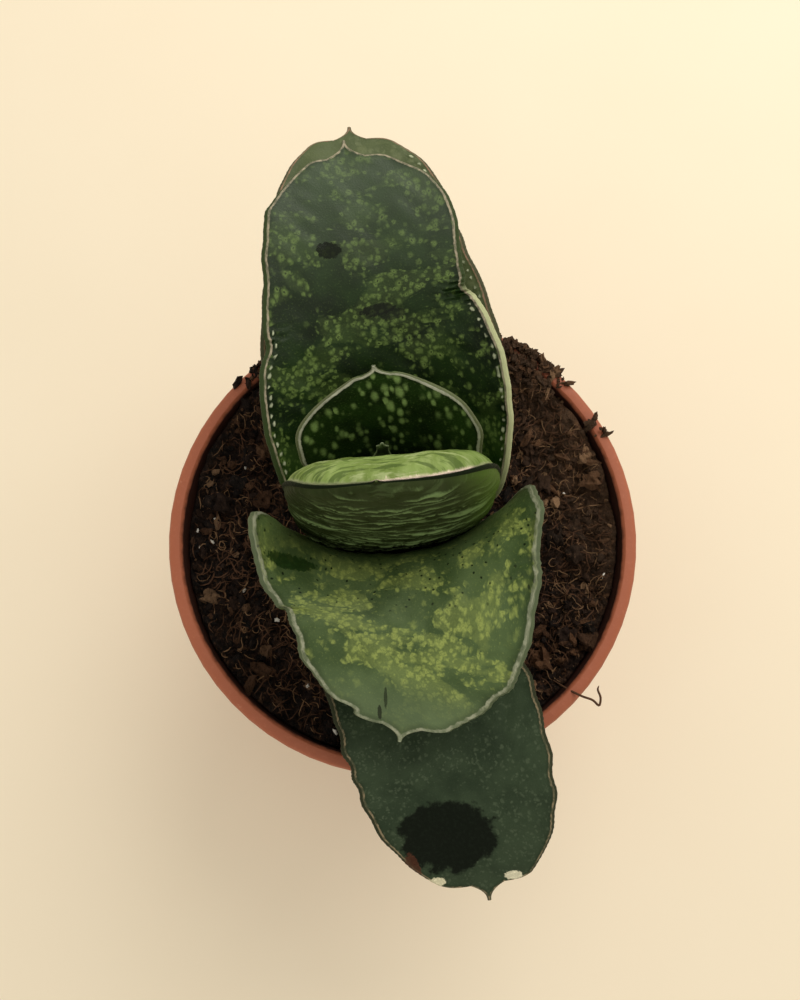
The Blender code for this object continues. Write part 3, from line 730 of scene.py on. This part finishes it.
# %% Leaf skin
def leaf_skin(name, deep, fresh, spot, **changes):
    """The whole finish of one leaf, from three colours and the changes to the usual look."""
    look = {**LOOK, **changes}
    skin = Finish("skin_" + name, look["rough"], look["shine"])
    arc, along, gap = skin.attribute("arc"), skin.attribute("along"), skin.attribute("gap")
    outer = skin.attribute("outer")
    where = skin.vector(arc, along, skin.times(outer, 40.0))
    broad = skin.step(skin.noise(where, 12.0, 4.0, 0.55), 0.35, 0.65)
    colour = skin.mix(broad, deep, fresh)
    grain = skin.noise(where, 0.5, 3.0, 0.65)
    spots, pores = spotted(skin, where, look)
    spots = skin.times(spots, skin.step(grain, 0.25, 0.6, 0.6, 1.0))
    if look["zone"]:
        start, end = look["zone"]
        drift = skin.plus(along, skin.sway(14.0, where, 9.0, 3.0))
        spots = skin.times(spots, skin.plus(skin.times(span(skin, drift, start, end, 4.0), 0.8), 0.2))
    colour = skin.mix(skin.times(spots, look["strength"]), colour, spot)
    colour = skin.mix(skin.times(pores, look["pores"]), colour, darker(deep, 0.5))
    colour = skin.mix(skin.step(grain, 0.56, 0.75, 0.0, 0.3), colour, spot)
    if look["pits"]:
        start, end = look["pits"]
        rows = skin.stretched(warped(skin, where, 5.0, 2.0), (0.8, 1.0, 1.0))
        distance, chance = skin.cells(rows, 1.35, 0.55)
        pit = skin.times(skin.step(distance, 0.24, 0.1), span(skin, along, start, end, 5.0))
        colour = skin.mix(skin.times(pit, skin.step(chance, 0.3, 0.5)), colour, (16, 28, 8))
    # Tints along the leaf: painted sheen toward the tip, painted shade near the base where a leaf stands in
    # front, and plain changes of green.
    for start, end, tint, strength in look["sheen"]:
        colour = skin.mix(skin.step(along, start, end, 0.0, strength), colour, tint)
    # The outer face gets this colour; on the thick leaf it is near black, painted shade on the face turned
    # away from the window.
    if look["outer"]:
        colour = skin.mix(skin.times(outer, 0.9), colour, look["outer"])
    # Painted highlights on the crests of the wrinkles on the outer face. On the top face, dark lines of
    # painted shade in fine cross wrinkles, with pale lines of painted highlight beside them.
    if look["ridge"]:
        rise = skin.plus(skin.attribute("ridge"), skin.times(grain, 0.3))
        painted_crest_highlight = skin.times(skin.step(rise, 0.46, 0.92), outer)
        colour = skin.mix(painted_crest_highlight, colour, look["ridge"])
        fold = skin.noise(skin.stretched(where, (0.16, 1.5, 1.0)), 1.5, 4.0, 0.6)
        painted_groove_shade = skin.times(skin.step(fold, 0.5, 0.58), skin.step(outer, 0.4, 0.0))
        colour = skin.mix(skin.times(painted_groove_shade, 0.62), colour, (50, 72, 28))
        light = skin.times(skin.step(fold, 0.44, 0.36), skin.step(outer, 0.0, 0.5, 0.5, 0.16))
        colour = skin.mix(light, colour, skin.mix(outer, (186, 198, 146), look["ridge"]))
    if look["right_end"]:
        colour = skin.mix(skin.step(arc, 12.0, 24.0, 0.0, 0.7), colour, look["right_end"])
    colour = paint_margin(skin, colour, look, where, arc, along, gap)
    gloss = skin.step(grain, 0.3, 0.7, look["rough"] + 0.07, look["rough"] - 0.06)
    for index, (middle, size, tint, strength, shine) in enumerate(look["patches"]):
        there = skin.times(patch(skin, arc, along, middle, size, 5.0 + index), strength)
        fleck = skin.step(skin.noise(where, 0.9, 3.0, 0.6), 0.45, 0.7)
        lighter = tuple(min(int(v * 1.15) + 7, 255) for v in tint)
        mottled = skin.mix(fleck, tint, lighter)
        colour = skin.mix(there, colour, mottled)
        gloss = skin.plus(gloss, skin.times(there, shine))
    skin.colour(colour)
    skin.roughness(gloss)
    fine = skin.plus(skin.times(grain, 0.6), skin.times(skin.noise(where, 1.5, 3.0), 0.4))
    skin.bump(fine, 0.16)
    return skin


# %% The seven skins
WET = (6, 13, 3)
SKINS = {
    "leaf_1_lower": leaf_skin(
        "old_front", (40, 53, 36), (55, 69, 49), (88, 101, 78), pitch=1.3, share=0.42, gather=0.2,
        size=(0.05, 0.42),
        haze=0.08, strength=0.6, pores=0.15, margin=(158, 142, 110), margin_mm=0.34, worn=0.15,
        side=(60, 66, 44),
        rough=0.46, shine=0.1, sheen=((46, 78, (46, 56, 40), 0.3),),
        patches=(
            ((-5.6, 63.0), (11.5, 8.6), WET, 0.98, -0.12),
            ((-11.6, 73.8), (2.4, 1.2), (206, 200, 168), 0.9, 0.0),
            ((6.6, 74.8), (2.2, 1.1), (210, 204, 176), 0.9, 0.0),
            ((-15.6, 69.5), (1.6, 4.2), (70, 40, 26), 0.8, -0.1),
        ),
    ),
    "leaf_2_back": leaf_skin(
        "old_back", (74, 86, 52), (90, 101, 66), (124, 132, 94), share=0.35, gather=0.2, strength=0.4,
        pores=0.0,
        haze=0.1, margin=(178, 140, 114), margin_mm=0.3, side=(90, 92, 62), inner_shade=0.1,
    ),
    "leaf_3_front": leaf_skin(
        "front", (60, 79, 43), (84, 103, 62), (160, 174, 92), pitch=1.8, share=0.5, gather=0.07,
        size=(0.08, 0.6),
        band=7.5, ragged=2.0, haze=0.3, strength=0.85, zone=(30, 58), pores=0.35, margin=(178, 182, 154),
        margin_mm=0.7, worn=0.3,
        side=(104, 118, 84), rough=0.44, pits=(14, 40),
        sheen=((54, 66, (104, 120, 88), 0.5), (34, 18, (50, 72, 24), 0.5)),
        patches=(
            ((-26.3, 30.4), (6.4, 1.3), (20, 44, 10), 0.85, -0.1),
            ((-3.6, 62.4), (0.4, 2.4), (30, 40, 20), 0.8, 0.0),
            ((-5.0, 65.8), (0.5, 1.6), (24, 30, 14), 0.85, 0.0),
        ),
    ),
    "leaf_4_big": leaf_skin(
        "big", (10, 25, 4), (27, 48, 14), (112, 136, 70), pitch=1.9, share=0.5, gather=0.08,
        size=(0.06, 0.52),
        band=7.0, ragged=1.2, haze=0.14, strength=0.9, pores=0.9, margin=(196, 184, 156), margin_mm=0.42,
        worn=0.3,
        side=(60, 80, 36), thick_edge=(12, 50, (214, 220, 168)), shine=0.2,
        sheen=((46, 84, (84, 98, 78), 0.5), (34, 12, (22, 62, 2), 0.5)),
        patches=(
            ((-7.7, 66.0), (3.0, 1.9), WET, 0.9, -0.25), ((2.3, 51.7), (4.2, 1.4), WET, 0.85, -0.25),
            ((5.5, 50.0), (3.0, 1.4), WET, 0.7, -0.25),
        ),
    ),
    # The thick leaf: a pale top, with its outer face (outer) and sides (side) painted near black as painted
    # shade, and painted highlights on its wrinkle crests (ridge).
    "leaf_5_thick": leaf_skin(
        "thick", (104, 124, 58), (142, 164, 94), (170, 186, 124), share=0.4, gather=0.2, strength=0.35,
        pores=0.0,
        haze=0.1, margin=(164, 172, 128), margin_mm=0.42, line_at=-0.5, side=(22, 34, 13),
        bright=(0.5, 17.0, (250, 228, 210)),
        outer=(5, 13, 2), ridge=(106, 128, 80), right_end=(84, 110, 40), rough=0.5, shine=0.06,
        inner_shade=0.0,
    ),
    "leaf_6_inner": leaf_skin(
        "inner", (16, 33, 8), (31, 55, 16), (150, 180, 108), pitch=2.7, share=0.72, gather=0.3,
        size=(0.1, 0.38),
        haze=0.0, ragged=0.5, grow=0.5, strength=0.8, margin=(226, 228, 206), margin_mm=0.5, worn=0.7,
        pores=0.0, rough=0.4,
        side=(120, 130, 90), inner_shade=0.5,
    ),
    "leaf_7_tip": leaf_skin(
        "tip", (10, 20, 5), (30, 48, 18), (110, 134, 84), margin=(196, 212, 168), margin_mm=0.8,
        pores=0.0, worn=0.8,
        side=(150, 168, 120), share=0.2,
    ),
}
for name, leaf in leaves.items():
    paint_piece(leaf, SKINS[name].material)
    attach(leaf, "root")
    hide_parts(name)
print("painted", len(SKINS), "skins")

# %% [markdown]
# ## The pot
# The pot is moulded in one piece from matt terracotta-coloured plastic. Its solid already has the
# right shape, so a merged copy of it gets a fine bevel on its edges and a smooth shading. The plastic
# has a faint grain, a slight drift of colour and light scuffs. Its inner wall below the rim is painted
# near black: painted shade in the recess over the peat, with some soil dust.

# %% Pot shell
BEVEL_WIDTH = 0.0004
RIM_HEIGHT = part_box("pot")[1][2]
RIM_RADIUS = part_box("pot")[1][0]
# The middle of the wall's thickness in mm: its radius at the foot, its taper and its step in the band.
WALL_FOOT, WALL_TAPER = 41.3, 0.1636
BAND_START, BAND_STEP, LIP_INSIDE = 81.6, 2.6, 2.6
FLOOR_TOP = 3.7


def link_piece(name, mesh):
    """A new object with this mesh, the only one selected."""
    deselect_all()
    piece = bpy.data.objects.new(name, mesh)
    bpy.context.scene.collection.objects.link(piece)
    bpy.context.view_layer.objects.active = piece
    piece.select_set(True)
    return piece


def copy_of_node(node, name):
    """An own mesh with the node's shape, merged so that its faces share their corners."""
    source = nodes[node]
    piece = link_piece(name, source.data.copy())
    piece.matrix_world = source.matrix_world.copy()
    bpy.ops.object.transform_apply(location=True, rotation=True, scale=True)
    bpy.ops.object.mode_set(mode="EDIT")
    bpy.ops.mesh.select_all(action="SELECT")
    bpy.ops.mesh.remove_doubles(threshold=1e-6)
    bpy.ops.mesh.tris_convert_to_quads(face_threshold=math.radians(20), shape_threshold=math.radians(40))
    bpy.ops.object.mode_set(mode="OBJECT")
    return piece


def make_pot_shell():
    shell = copy_of_node("pot", "pot_shell")
    bevel = shell.modifiers.new("soft_edges", "BEVEL")
    bevel.width = BEVEL_WIDTH
    bevel.segments = 2
    bevel.limit_method = "ANGLE"
    bevel.angle_limit = math.radians(35)
    bpy.ops.object.modifier_apply(modifier="soft_edges")
    bpy.ops.object.shade_smooth_by_angle(angle=math.radians(32))
    return shell


def pot_plastic():
    plastic = Finish("pot_plastic", 0.55, 0.4)
    where = plastic.place()
    drift = plastic.noise(where, 38.0, 3.0)
    grain = plastic.noise(where, 0.9, 3.0, 0.6)
    colour = plastic.mix(drift, (158, 86, 58), (172, 98, 68))
    colour = plastic.mix(plastic.step(grain, 0.5, 0.75, 0.0, 0.25), colour, (190, 116, 86))
    scuff = plastic.noise(plastic.stretched(where, (1.0, 1.0, 3.0)), 5.0, 5.0, 0.7)
    colour = plastic.mix(plastic.step(scuff, 0.62, 0.72, 0.0, 0.35), colour, (204, 146, 118))
    height = plastic.add("ShaderNodeSeparateXYZ", {0: where}).outputs[2]
    xy = plastic.stretched(where, (1.0, 1.0, 0.0))
    radius = plastic.add("ShaderNodeVectorMath", {0: xy}, operation="LENGTH").outputs["Value"]
    band = plastic.step(height, BAND_START, BAND_START + 1.0, 0.0, BAND_STEP)
    stepped = plastic.plus(plastic.times(height, WALL_TAPER), WALL_FOOT, band)
    middle = plastic.maths("MINIMUM", stepped, RIM_RADIUS / MM - LIP_INSIDE)
    # The inner wall below the rim is painted near black: painted shade in the recess, with some soil dust.
    inside = plastic.step(plastic.maths("SUBTRACT", radius, middle), 0.0, -0.4)
    above = plastic.step(height, FLOOR_TOP, FLOOR_TOP + 0.8)
    ragged = plastic.plus(height, plastic.noise(where, 2.0, 4.0))
    low = plastic.step(ragged, RIM_HEIGHT / MM + 0.4, RIM_HEIGHT / MM - 0.6)
    colour = plastic.mix(plastic.times(inside, above, low, 0.93), colour, (30, 13, 9))
    plastic.colour(colour)
    plastic.roughness(plastic.step(scuff, 0.3, 0.7, 0.5, 0.66))
    plastic.bump(grain, 0.05)
    return plastic


pot_shell = make_pot_shell()
paint_piece(pot_shell, pot_plastic().material)
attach(pot_shell, "root")
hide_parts("pot")
print("pot shell faces:", len(pot_shell.data.polygons))

# %% [markdown]
# ## The peat
# Peat is a heap of dark crumbs, shreds and fibres. One bed follows the soil's solid with a rough,
# lumpy top, a little higher at the wall. Over it lie thousands of clods, crumbs, flat shreds and fine
# grains, which are copies of a few knobbly lumps, then thin fibres and a few white grains. All crumbs
# of one kind are joined in one piece.

# %% Peat bed
BED_RADIUS = 55.4
BED_CELLS = 230
BED_DEPTH, BED_TAPER = 0.012, 0.965
SOIL_LEVEL, SOIL_SLOPE = 86.6, 0.02
# Broad heaps of the top: x, y, height and the square of the spread.
HEAPS = [(34, 34, 3.0, 330.0), (-36, 26, 1.2, 260.0)]
CROWN_Y = 4.0
WALL_START, WALL_REACH, WALL_RISE = 42.0, 12.0, 3.0
BED_TOP = 93.8


def heap(x, y):
    """The broad shape of the soil's top in millimetres: higher behind the plant, to the right."""
    height = SOIL_LEVEL + SOIL_SLOPE * y
    for heap_x, heap_y, rise, spread in HEAPS:
        height += rise * math.exp(-((x - heap_x) ** 2 + (y - heap_y) ** 2) / spread)
    return height


def lumpy(x, y):
    """The heap with clods and crumbs of several sizes on it, kept under the rim but for the spill."""
    crown = math.exp(-(((x / 26.0) ** 2 + ((y - CROWN_Y) / 30.0) ** 2) ** 2))
    rough = 2.8 * noise.fractal(Vector((x / 8.0, y / 8.0, 3.1)), 0.85, 2.1, 5)
    fine = 0.8 * noise.fractal(Vector((x / 1.6, y / 1.6, 7.7)), 0.8, 2.2, 3)
    spill = math.exp(-((x - 33) ** 2 + (y - 46) ** 2) / 90.0)
    wall = min(max((math.hypot(x, y) - WALL_START) / WALL_REACH, 0.0), 1.0)
    top = heap(x, y) + 0.7 + WALL_RISE * wall * wall + 4.0 * spill + (rough + fine) * (1 - 0.75 * crown)
    return min(top, BED_TOP + 3.0 * spill)


def make_bed():
    deselect_all()
    bpy.ops.mesh.primitive_grid_add(
        x_subdivisions=BED_CELLS, y_subdivisions=BED_CELLS, size=2 * BED_RADIUS * MM, location=(0, 0, 0)
    )
    bed = bpy.context.object
    bed.name = "peat_bed"
    for vertex in bed.data.vertices:
        # The square grid is drawn out into a disc, so that its edge is the pot's wall.
        x, y = vertex.co.x / (BED_RADIUS * MM), vertex.co.y / (BED_RADIUS * MM)
        x, y = x * math.sqrt(1 - y * y / 2) * BED_RADIUS, y * math.sqrt(1 - x * x / 2) * BED_RADIUS
        vertex.co = Vector((x, y, lumpy(x, y))) * MM
    bpy.ops.object.mode_set(mode="EDIT")
    bpy.ops.mesh.select_all(action="DESELECT")
    bpy.ops.mesh.select_mode(type="EDGE")
    bpy.ops.mesh.select_non_manifold()
    bpy.ops.mesh.extrude_region_move(TRANSFORM_OT_translate={"value": (0, 0, -BED_DEPTH)})
    bpy.ops.transform.resize(value=(BED_TAPER, BED_TAPER, 0.0), center_override=(0, 0, 0.072))
    bpy.ops.mesh.edge_face_add()
    bpy.ops.mesh.select_all(action="SELECT")
    bpy.ops.mesh.normals_make_consistent(inside=False)
    bpy.ops.object.mode_set(mode="OBJECT")
    bpy.ops.object.shade_smooth()
    return bed


peat_bed = make_bed()
print("bed height, mm:", round(max(v.co.z for v in peat_bed.data.vertices) / MM, 1))


# %% Peat finish
def peat(name, own_tone):
    """Dark peat with brown and pale bits, with painted shade toward the front left and painted light toward
    the back right. own_tone: each crumb has its own tone, else noise gives it.
    """
    finish = Finish(name, 0.92, 0.25)
    where = finish.place()
    if own_tone:
        tone = finish.attribute("tone")
    else:
        tone = finish.step(finish.noise(where, 2.2, 5.0, 0.7), 0.3, 0.75)
    colour = finish.mix(finish.step(tone, 0.0, 0.65), (9, 5, 3), (48, 29, 18))
    colour = finish.mix(finish.step(tone, 0.6, 0.88), colour, (98, 67, 44))
    colour = finish.mix(finish.step(tone, 0.93, 1.0), colour, (160, 126, 94))
    shred = finish.noise(finish.stretched(where, (1.0, 0.35, 1.0)), 0.9, 4.0, 0.7, 1.2)
    colour = finish.mix(finish.step(shred, 0.52, 0.74, 0.0, 0.5), colour, (112, 84, 60))
    colour = finish.mix(finish.step(shred, 0.48, 0.3, 0.0, 0.75), colour, (8, 5, 3))
    # Painted shade toward the front left and painted light toward the back right, on the window's side.
    apart = finish.add("ShaderNodeSeparateXYZ", {0: where})
    painted_light_and_shade_axis = finish.plus(apart.outputs[0], finish.times(apart.outputs[1], 0.5))
    colour = finish.mix(finish.step(painted_light_and_shade_axis, 5.0, -45.0, 0.0, 0.4), colour, (10, 6, 4))
    colour = finish.mix(finish.step(painted_light_and_shade_axis, 28.0, 72.0, 0.0, 0.4), colour, (124, 94, 68))
    finish.colour(colour)
    finish.roughness(finish.step(shred, 0.3, 0.7, 0.98, 0.78))
    finish.bump(finish.plus(shred, finish.noise(where, 0.4, 3.0, 0.7)), 0.7)
    return finish.material


PEAT = peat("moist_peat", False)
paint_piece(peat_bed, PEAT)
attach(peat_bed, "root")
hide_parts("soil")
print("bed painted")


# %% Crumbs
CRUMB_REACH = 54.6


def lump_shape(detail, squash, seed, flat=1.0):
    """Corners and faces of one knobbly lump about 1 mm across, from an icosphere with its points moved."""
    deselect_all()
    bpy.ops.mesh.primitive_ico_sphere_add(subdivisions=detail, radius=0.5)
    lump = bpy.context.object
    rng = random.Random(seed)
    shift = Vector((rng.uniform(0, 50), rng.uniform(0, 50), rng.uniform(0, 50)))
    for vertex in lump.data.vertices:
        vertex.co *= 1.0 + 0.9 * noise.noise(vertex.co * 3.0 + shift)
        vertex.co.x *= squash
        vertex.co.z *= flat
    corners = np.array([v.co[:] for v in lump.data.vertices])
    faces = np.array([list(f.vertices) for f in lump.data.polygons])
    bpy.data.objects.remove(lump, do_unlink=True)
    return corners, faces


def random_turn(rng):
    """A rotation matrix that points any way."""
    q = rng.normal(size=4)
    w, x, y, z = q / np.linalg.norm(q)
    return np.array([
        [1 - 2 * (y * y + z * z), 2 * (x * y - z * w), 2 * (x * z + y * w)],
        [2 * (x * y + z * w), 1 - 2 * (x * x + z * z), 2 * (y * z - x * w)],
        [2 * (x * z - y * w), 2 * (y * z + x * w), 1 - 2 * (x * x + y * y)],
    ])


def mesh_piece(name, corners, faces, material, tones=None, sharp=50):
    """One piece from stacked corners and faces in millimetres, riding on the object."""
    mesh = bpy.data.meshes.new(name)
    mesh.from_pydata(np.vstack(corners) * MM, [], np.vstack(faces).tolist())
    if tones is not None:
        keep_numbers(mesh, "tone", np.repeat(tones, [len(points) for points in corners]))
    piece = link_piece(name, mesh)
    paint_piece(piece, material)
    bpy.ops.object.shade_smooth_by_angle(angle=math.radians(sharp))
    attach(piece, "root")
    return piece


def soil_spot(rng):
    radius, turn = CRUMB_REACH * math.sqrt(rng.uniform()), rng.uniform(0, FULL_TURN)
    return radius * math.cos(turn), radius * math.sin(turn)


def covered(x, y):
    """True over the crown, where no crumbs lie."""
    return (x / 22.0) ** 2 + ((y - CROWN_Y) / 24.0) ** 2 < 1


def scatter(name, shapes, count, sizes, material, seed, spots=None, sink=0.1):
    """Crumbs of mixed size and turn over the soil, or at the given spots, each with its own tone."""
    rng = np.random.default_rng(seed)
    corners, faces, tones, start = [], [], [], 0
    for index in range(count):
        x, y = spots[index][:2] if spots else soil_spot(rng)
        size = sizes[0] * (sizes[1] / sizes[0]) ** rng.uniform()
        if not spots and covered(x, y):
            continue
        z = spots[index][2] if spots else lumpy(x, y)
        points, triangles = shapes[rng.integers(len(shapes))]
        points = points @ random_turn(rng).T * size + (x, y, z + size * (0.5 - sink) * 0.6)
        corners.append(points)
        faces.append(triangles + start)
        tones.append(rng.uniform())
        start += len(points)
    return mesh_piece(name, corners, faces, material, tones, 28)


CLOD_SHAPES = [lump_shape(3, 1.0 + 0.2 * k, k) for k in range(4)]
CRUMB_SHAPES = [lump_shape(2, 1.0 + 0.3 * k, 10 + k, 0.8) for k in range(6)]
SHRED_SHAPES = [lump_shape(2, 2.6 + 0.5 * k, 40 + k, 0.35) for k in range(5)]
GRAIN_SHAPES = [lump_shape(1, 1.0 + 0.3 * k, 20 + k) for k in range(4)]
CRUMB_PEAT = peat("crumb_peat", True)
clods = scatter("peat_clods", CLOD_SHAPES, 70, (2.2, 4.8), CRUMB_PEAT, 31, sink=0.5)
crumbs = scatter("peat_crumbs", CRUMB_SHAPES, 1600, (0.7, 2.2), CRUMB_PEAT, 32)
shreds = scatter("peat_shreds", SHRED_SHAPES, 1500, (0.3, 1.0), CRUMB_PEAT, 34)
grains = scatter("peat_grains", GRAIN_SHAPES, 8000, (0.25, 0.85), CRUMB_PEAT, 33)
print("crumb faces:", [len(p.data.polygons) for p in (clods, crumbs, shreds, grains)])


# %% Fibres
FIBRE_POINTS, FIBRE_REACH = 7, 55.0


def tube(points, radius, sides=4):
    """Corners and faces of a thin closed tube along points."""
    points = np.asarray(points, float)
    ahead = unit(np.gradient(points, axis=0))
    side = unit(np.cross(ahead, np.array([0.21, 0.33, 0.92])))
    up = np.cross(side, ahead)
    taper = np.sqrt(np.clip(1 - np.linspace(-1, 1, len(points)) ** 4, 0.08, 1))
    turns = FULL_TURN * np.arange(sides) / sides
    ring = side[:, None] * np.cos(turns)[:, None] + up[:, None] * np.sin(turns)[:, None]
    corners = (points[:, None] + ring * (radius * taper)[:, None, None]).reshape(-1, 3)
    faces = []
    for i in range(len(points) - 1):
        for k in range(sides):
            a, b = i * sides + k, i * sides + (k + 1) % sides
            faces += [(a, b, b + sides), (a, b + sides, a + sides)]
    for first in (0, (len(points) - 1) * sides):
        for k in range(1, sides - 1):
            end = (first, first + k + 1, first + k)
            faces.append(end if first == 0 else end[::-1])
    return corners, np.array(faces)


def fibre_path(rng, x, y, length):
    """A curling thread that lies on the peat."""
    heading, bend = rng.uniform(0, FULL_TURN), rng.normal(0, 0.35)
    path = []
    for _ in range(FIBRE_POINTS):
        if math.hypot(x, y) > FIBRE_REACH:
            break
        path.append((x, y, lumpy(x, y) + 0.5 + rng.uniform(0.0, 0.9)))
        heading += bend + rng.normal(0, 0.25)
        x += math.cos(heading) * length / (FIBRE_POINTS - 1)
        y += math.sin(heading) * length / (FIBRE_POINTS - 1)
    return path


def make_fibres(name, count, length, radius, material, seed):
    rng = np.random.default_rng(seed)
    corners, faces, start = [], [], 0
    while len(corners) < count:
        x, y = soil_spot(rng)
        path = fibre_path(rng, x, y, rng.uniform(*length))
        if covered(x, y) or len(path) < 4:
            continue
        points, triangles = tube(path, rng.uniform(*radius))
        corners.append(points)
        faces.append(triangles + start)
        start += len(points)
    return mesh_piece(name, corners, faces, material)


def plain_grain(name, colour, other):
    finish = Finish(name, 0.85, 0.3)
    where = finish.place()
    finish.colour(finish.mix(finish.noise(where, 1.2), colour, other))
    finish.bump(finish.noise(where, 0.3, 2.0), 0.08)
    return finish.material


PALE_FIBRE = plain_grain("pale_fibre", (150, 118, 86), (110, 80, 54))
DARK_FIBRE = plain_grain("dark_fibre", (66, 44, 30), (96, 66, 44))
PERLITE = plain_grain("white_grain", (236, 232, 222), (206, 200, 190))
pale_fibres = make_fibres("pale_fibres", 700, (1.6, 5.5), (0.07, 0.15), PALE_FIBRE, 41)
dark_fibres = make_fibres("dark_fibres", 800, (2.6, 8.0), (0.09, 0.2), DARK_FIBRE, 42)
white_grains = scatter("white_grains", CRUMB_SHAPES, 60, (0.5, 1.2), PERLITE, 43)
print("fibres:", len(pale_fibres.data.polygons) + len(dark_fibres.data.polygons), "faces")

# %% [markdown]
# ## Crumbs and a root tip on the rim
# Crumbs and shreds lie on the lip, most of them behind the plant, where the peat is heaped up. One thin
# dry root tip curls over the rim at the front right. It is drawn as a tube along a short path.

# %% Rim crumbs and root tip
# Middle, spread and number of crumbs of each spill, in millimetres.
SPILLS = [((33.5, 47.0), 6.0, 230), ((-37.5, 44.5), 3.0, 40), ((51.0, 28.5), 2.0, 8)]
LIP_TOP, LIP_FROM, LIP_TO = 95.0, 55.8, 59.4
PILE_HEIGHT = 2.2


def spill_spots():
    """Places of the crumbs heaped on the rim, piled up in the middle of each spill."""
    rng = np.random.default_rng(52)
    spots = []
    for (middle_x, middle_y), spread, count in SPILLS:
        for _ in range(count):
            dx, dy = rng.normal(0, spread, 2)
            x, y = middle_x + dx, middle_y + dy
            radius = math.hypot(x, y)
            if radius > LIP_TO:
                x, y = x * LIP_TO / radius, y * LIP_TO / radius
            pile = PILE_HEIGHT * math.exp(-(dx * dx + dy * dy) / spread**2) * rng.uniform(0.2, 1.0)
            floor_height = LIP_TOP if radius > LIP_FROM else lumpy(x, y)
            spots.append((x, y, floor_height + pile))
    return spots


ROOT_TIP = [
    (38.0, -36.5, 90.5), (41.0, -38.8, 94.0), (44.0, -40.6, 96.6), (46.6, -41.6, 97.2), (48.2, -42.9, 96.9),
    (48.6, -41.0, 97.2), (47.9, -39.2, 97.8), (48.1, -38.2, 98.3),
]
SPOTS = spill_spots()
rim_crumbs = scatter("rim_crumbs", CRUMB_SHAPES, len(SPOTS), (0.6, 2.1), CRUMB_PEAT, 51, SPOTS, 0.2)
half = SPOTS[::2]
rim_shreds = scatter("rim_shreds", SHRED_SHAPES, len(SPOTS) // 2, (0.25, 0.75), CRUMB_PEAT, 53, half, 0.0)
tip_stations = [(k / (len(ROOT_TIP) - 1), *point) for k, point in enumerate(ROOT_TIP)]
tip_path = through_stations(tip_stations, np.linspace(0, 1, 40))
tip_corners, tip_faces = tube(tip_path, 0.3, 8)
root_tip = mesh_piece("root_tip", [tip_corners], [tip_faces], DARK_FIBRE)
print("root tip points:", len(tip_corners))

# %% [markdown]
# ## The crown
# Under the leaves sits a short brown crown that the leaves grow from. Its solid has the right shape
# and hardly shows, so it stays and only gets a fibrous brown finish.

# %% Crown finish
def crown_bark():
    bark = Finish("crown_bark", 0.85, 0.25)
    where = bark.place()
    rings = bark.noise(bark.stretched(where, (0.3, 0.3, 1.6)), 2.2, 4.0, 0.6)
    bark.colour(bark.mix(rings, (12, 10, 6), (34, 28, 17)))
    bark.bump(rings, 0.4)
    return bark.material


paint_piece(nodes["stem"], crown_bark())
print("crown painted")
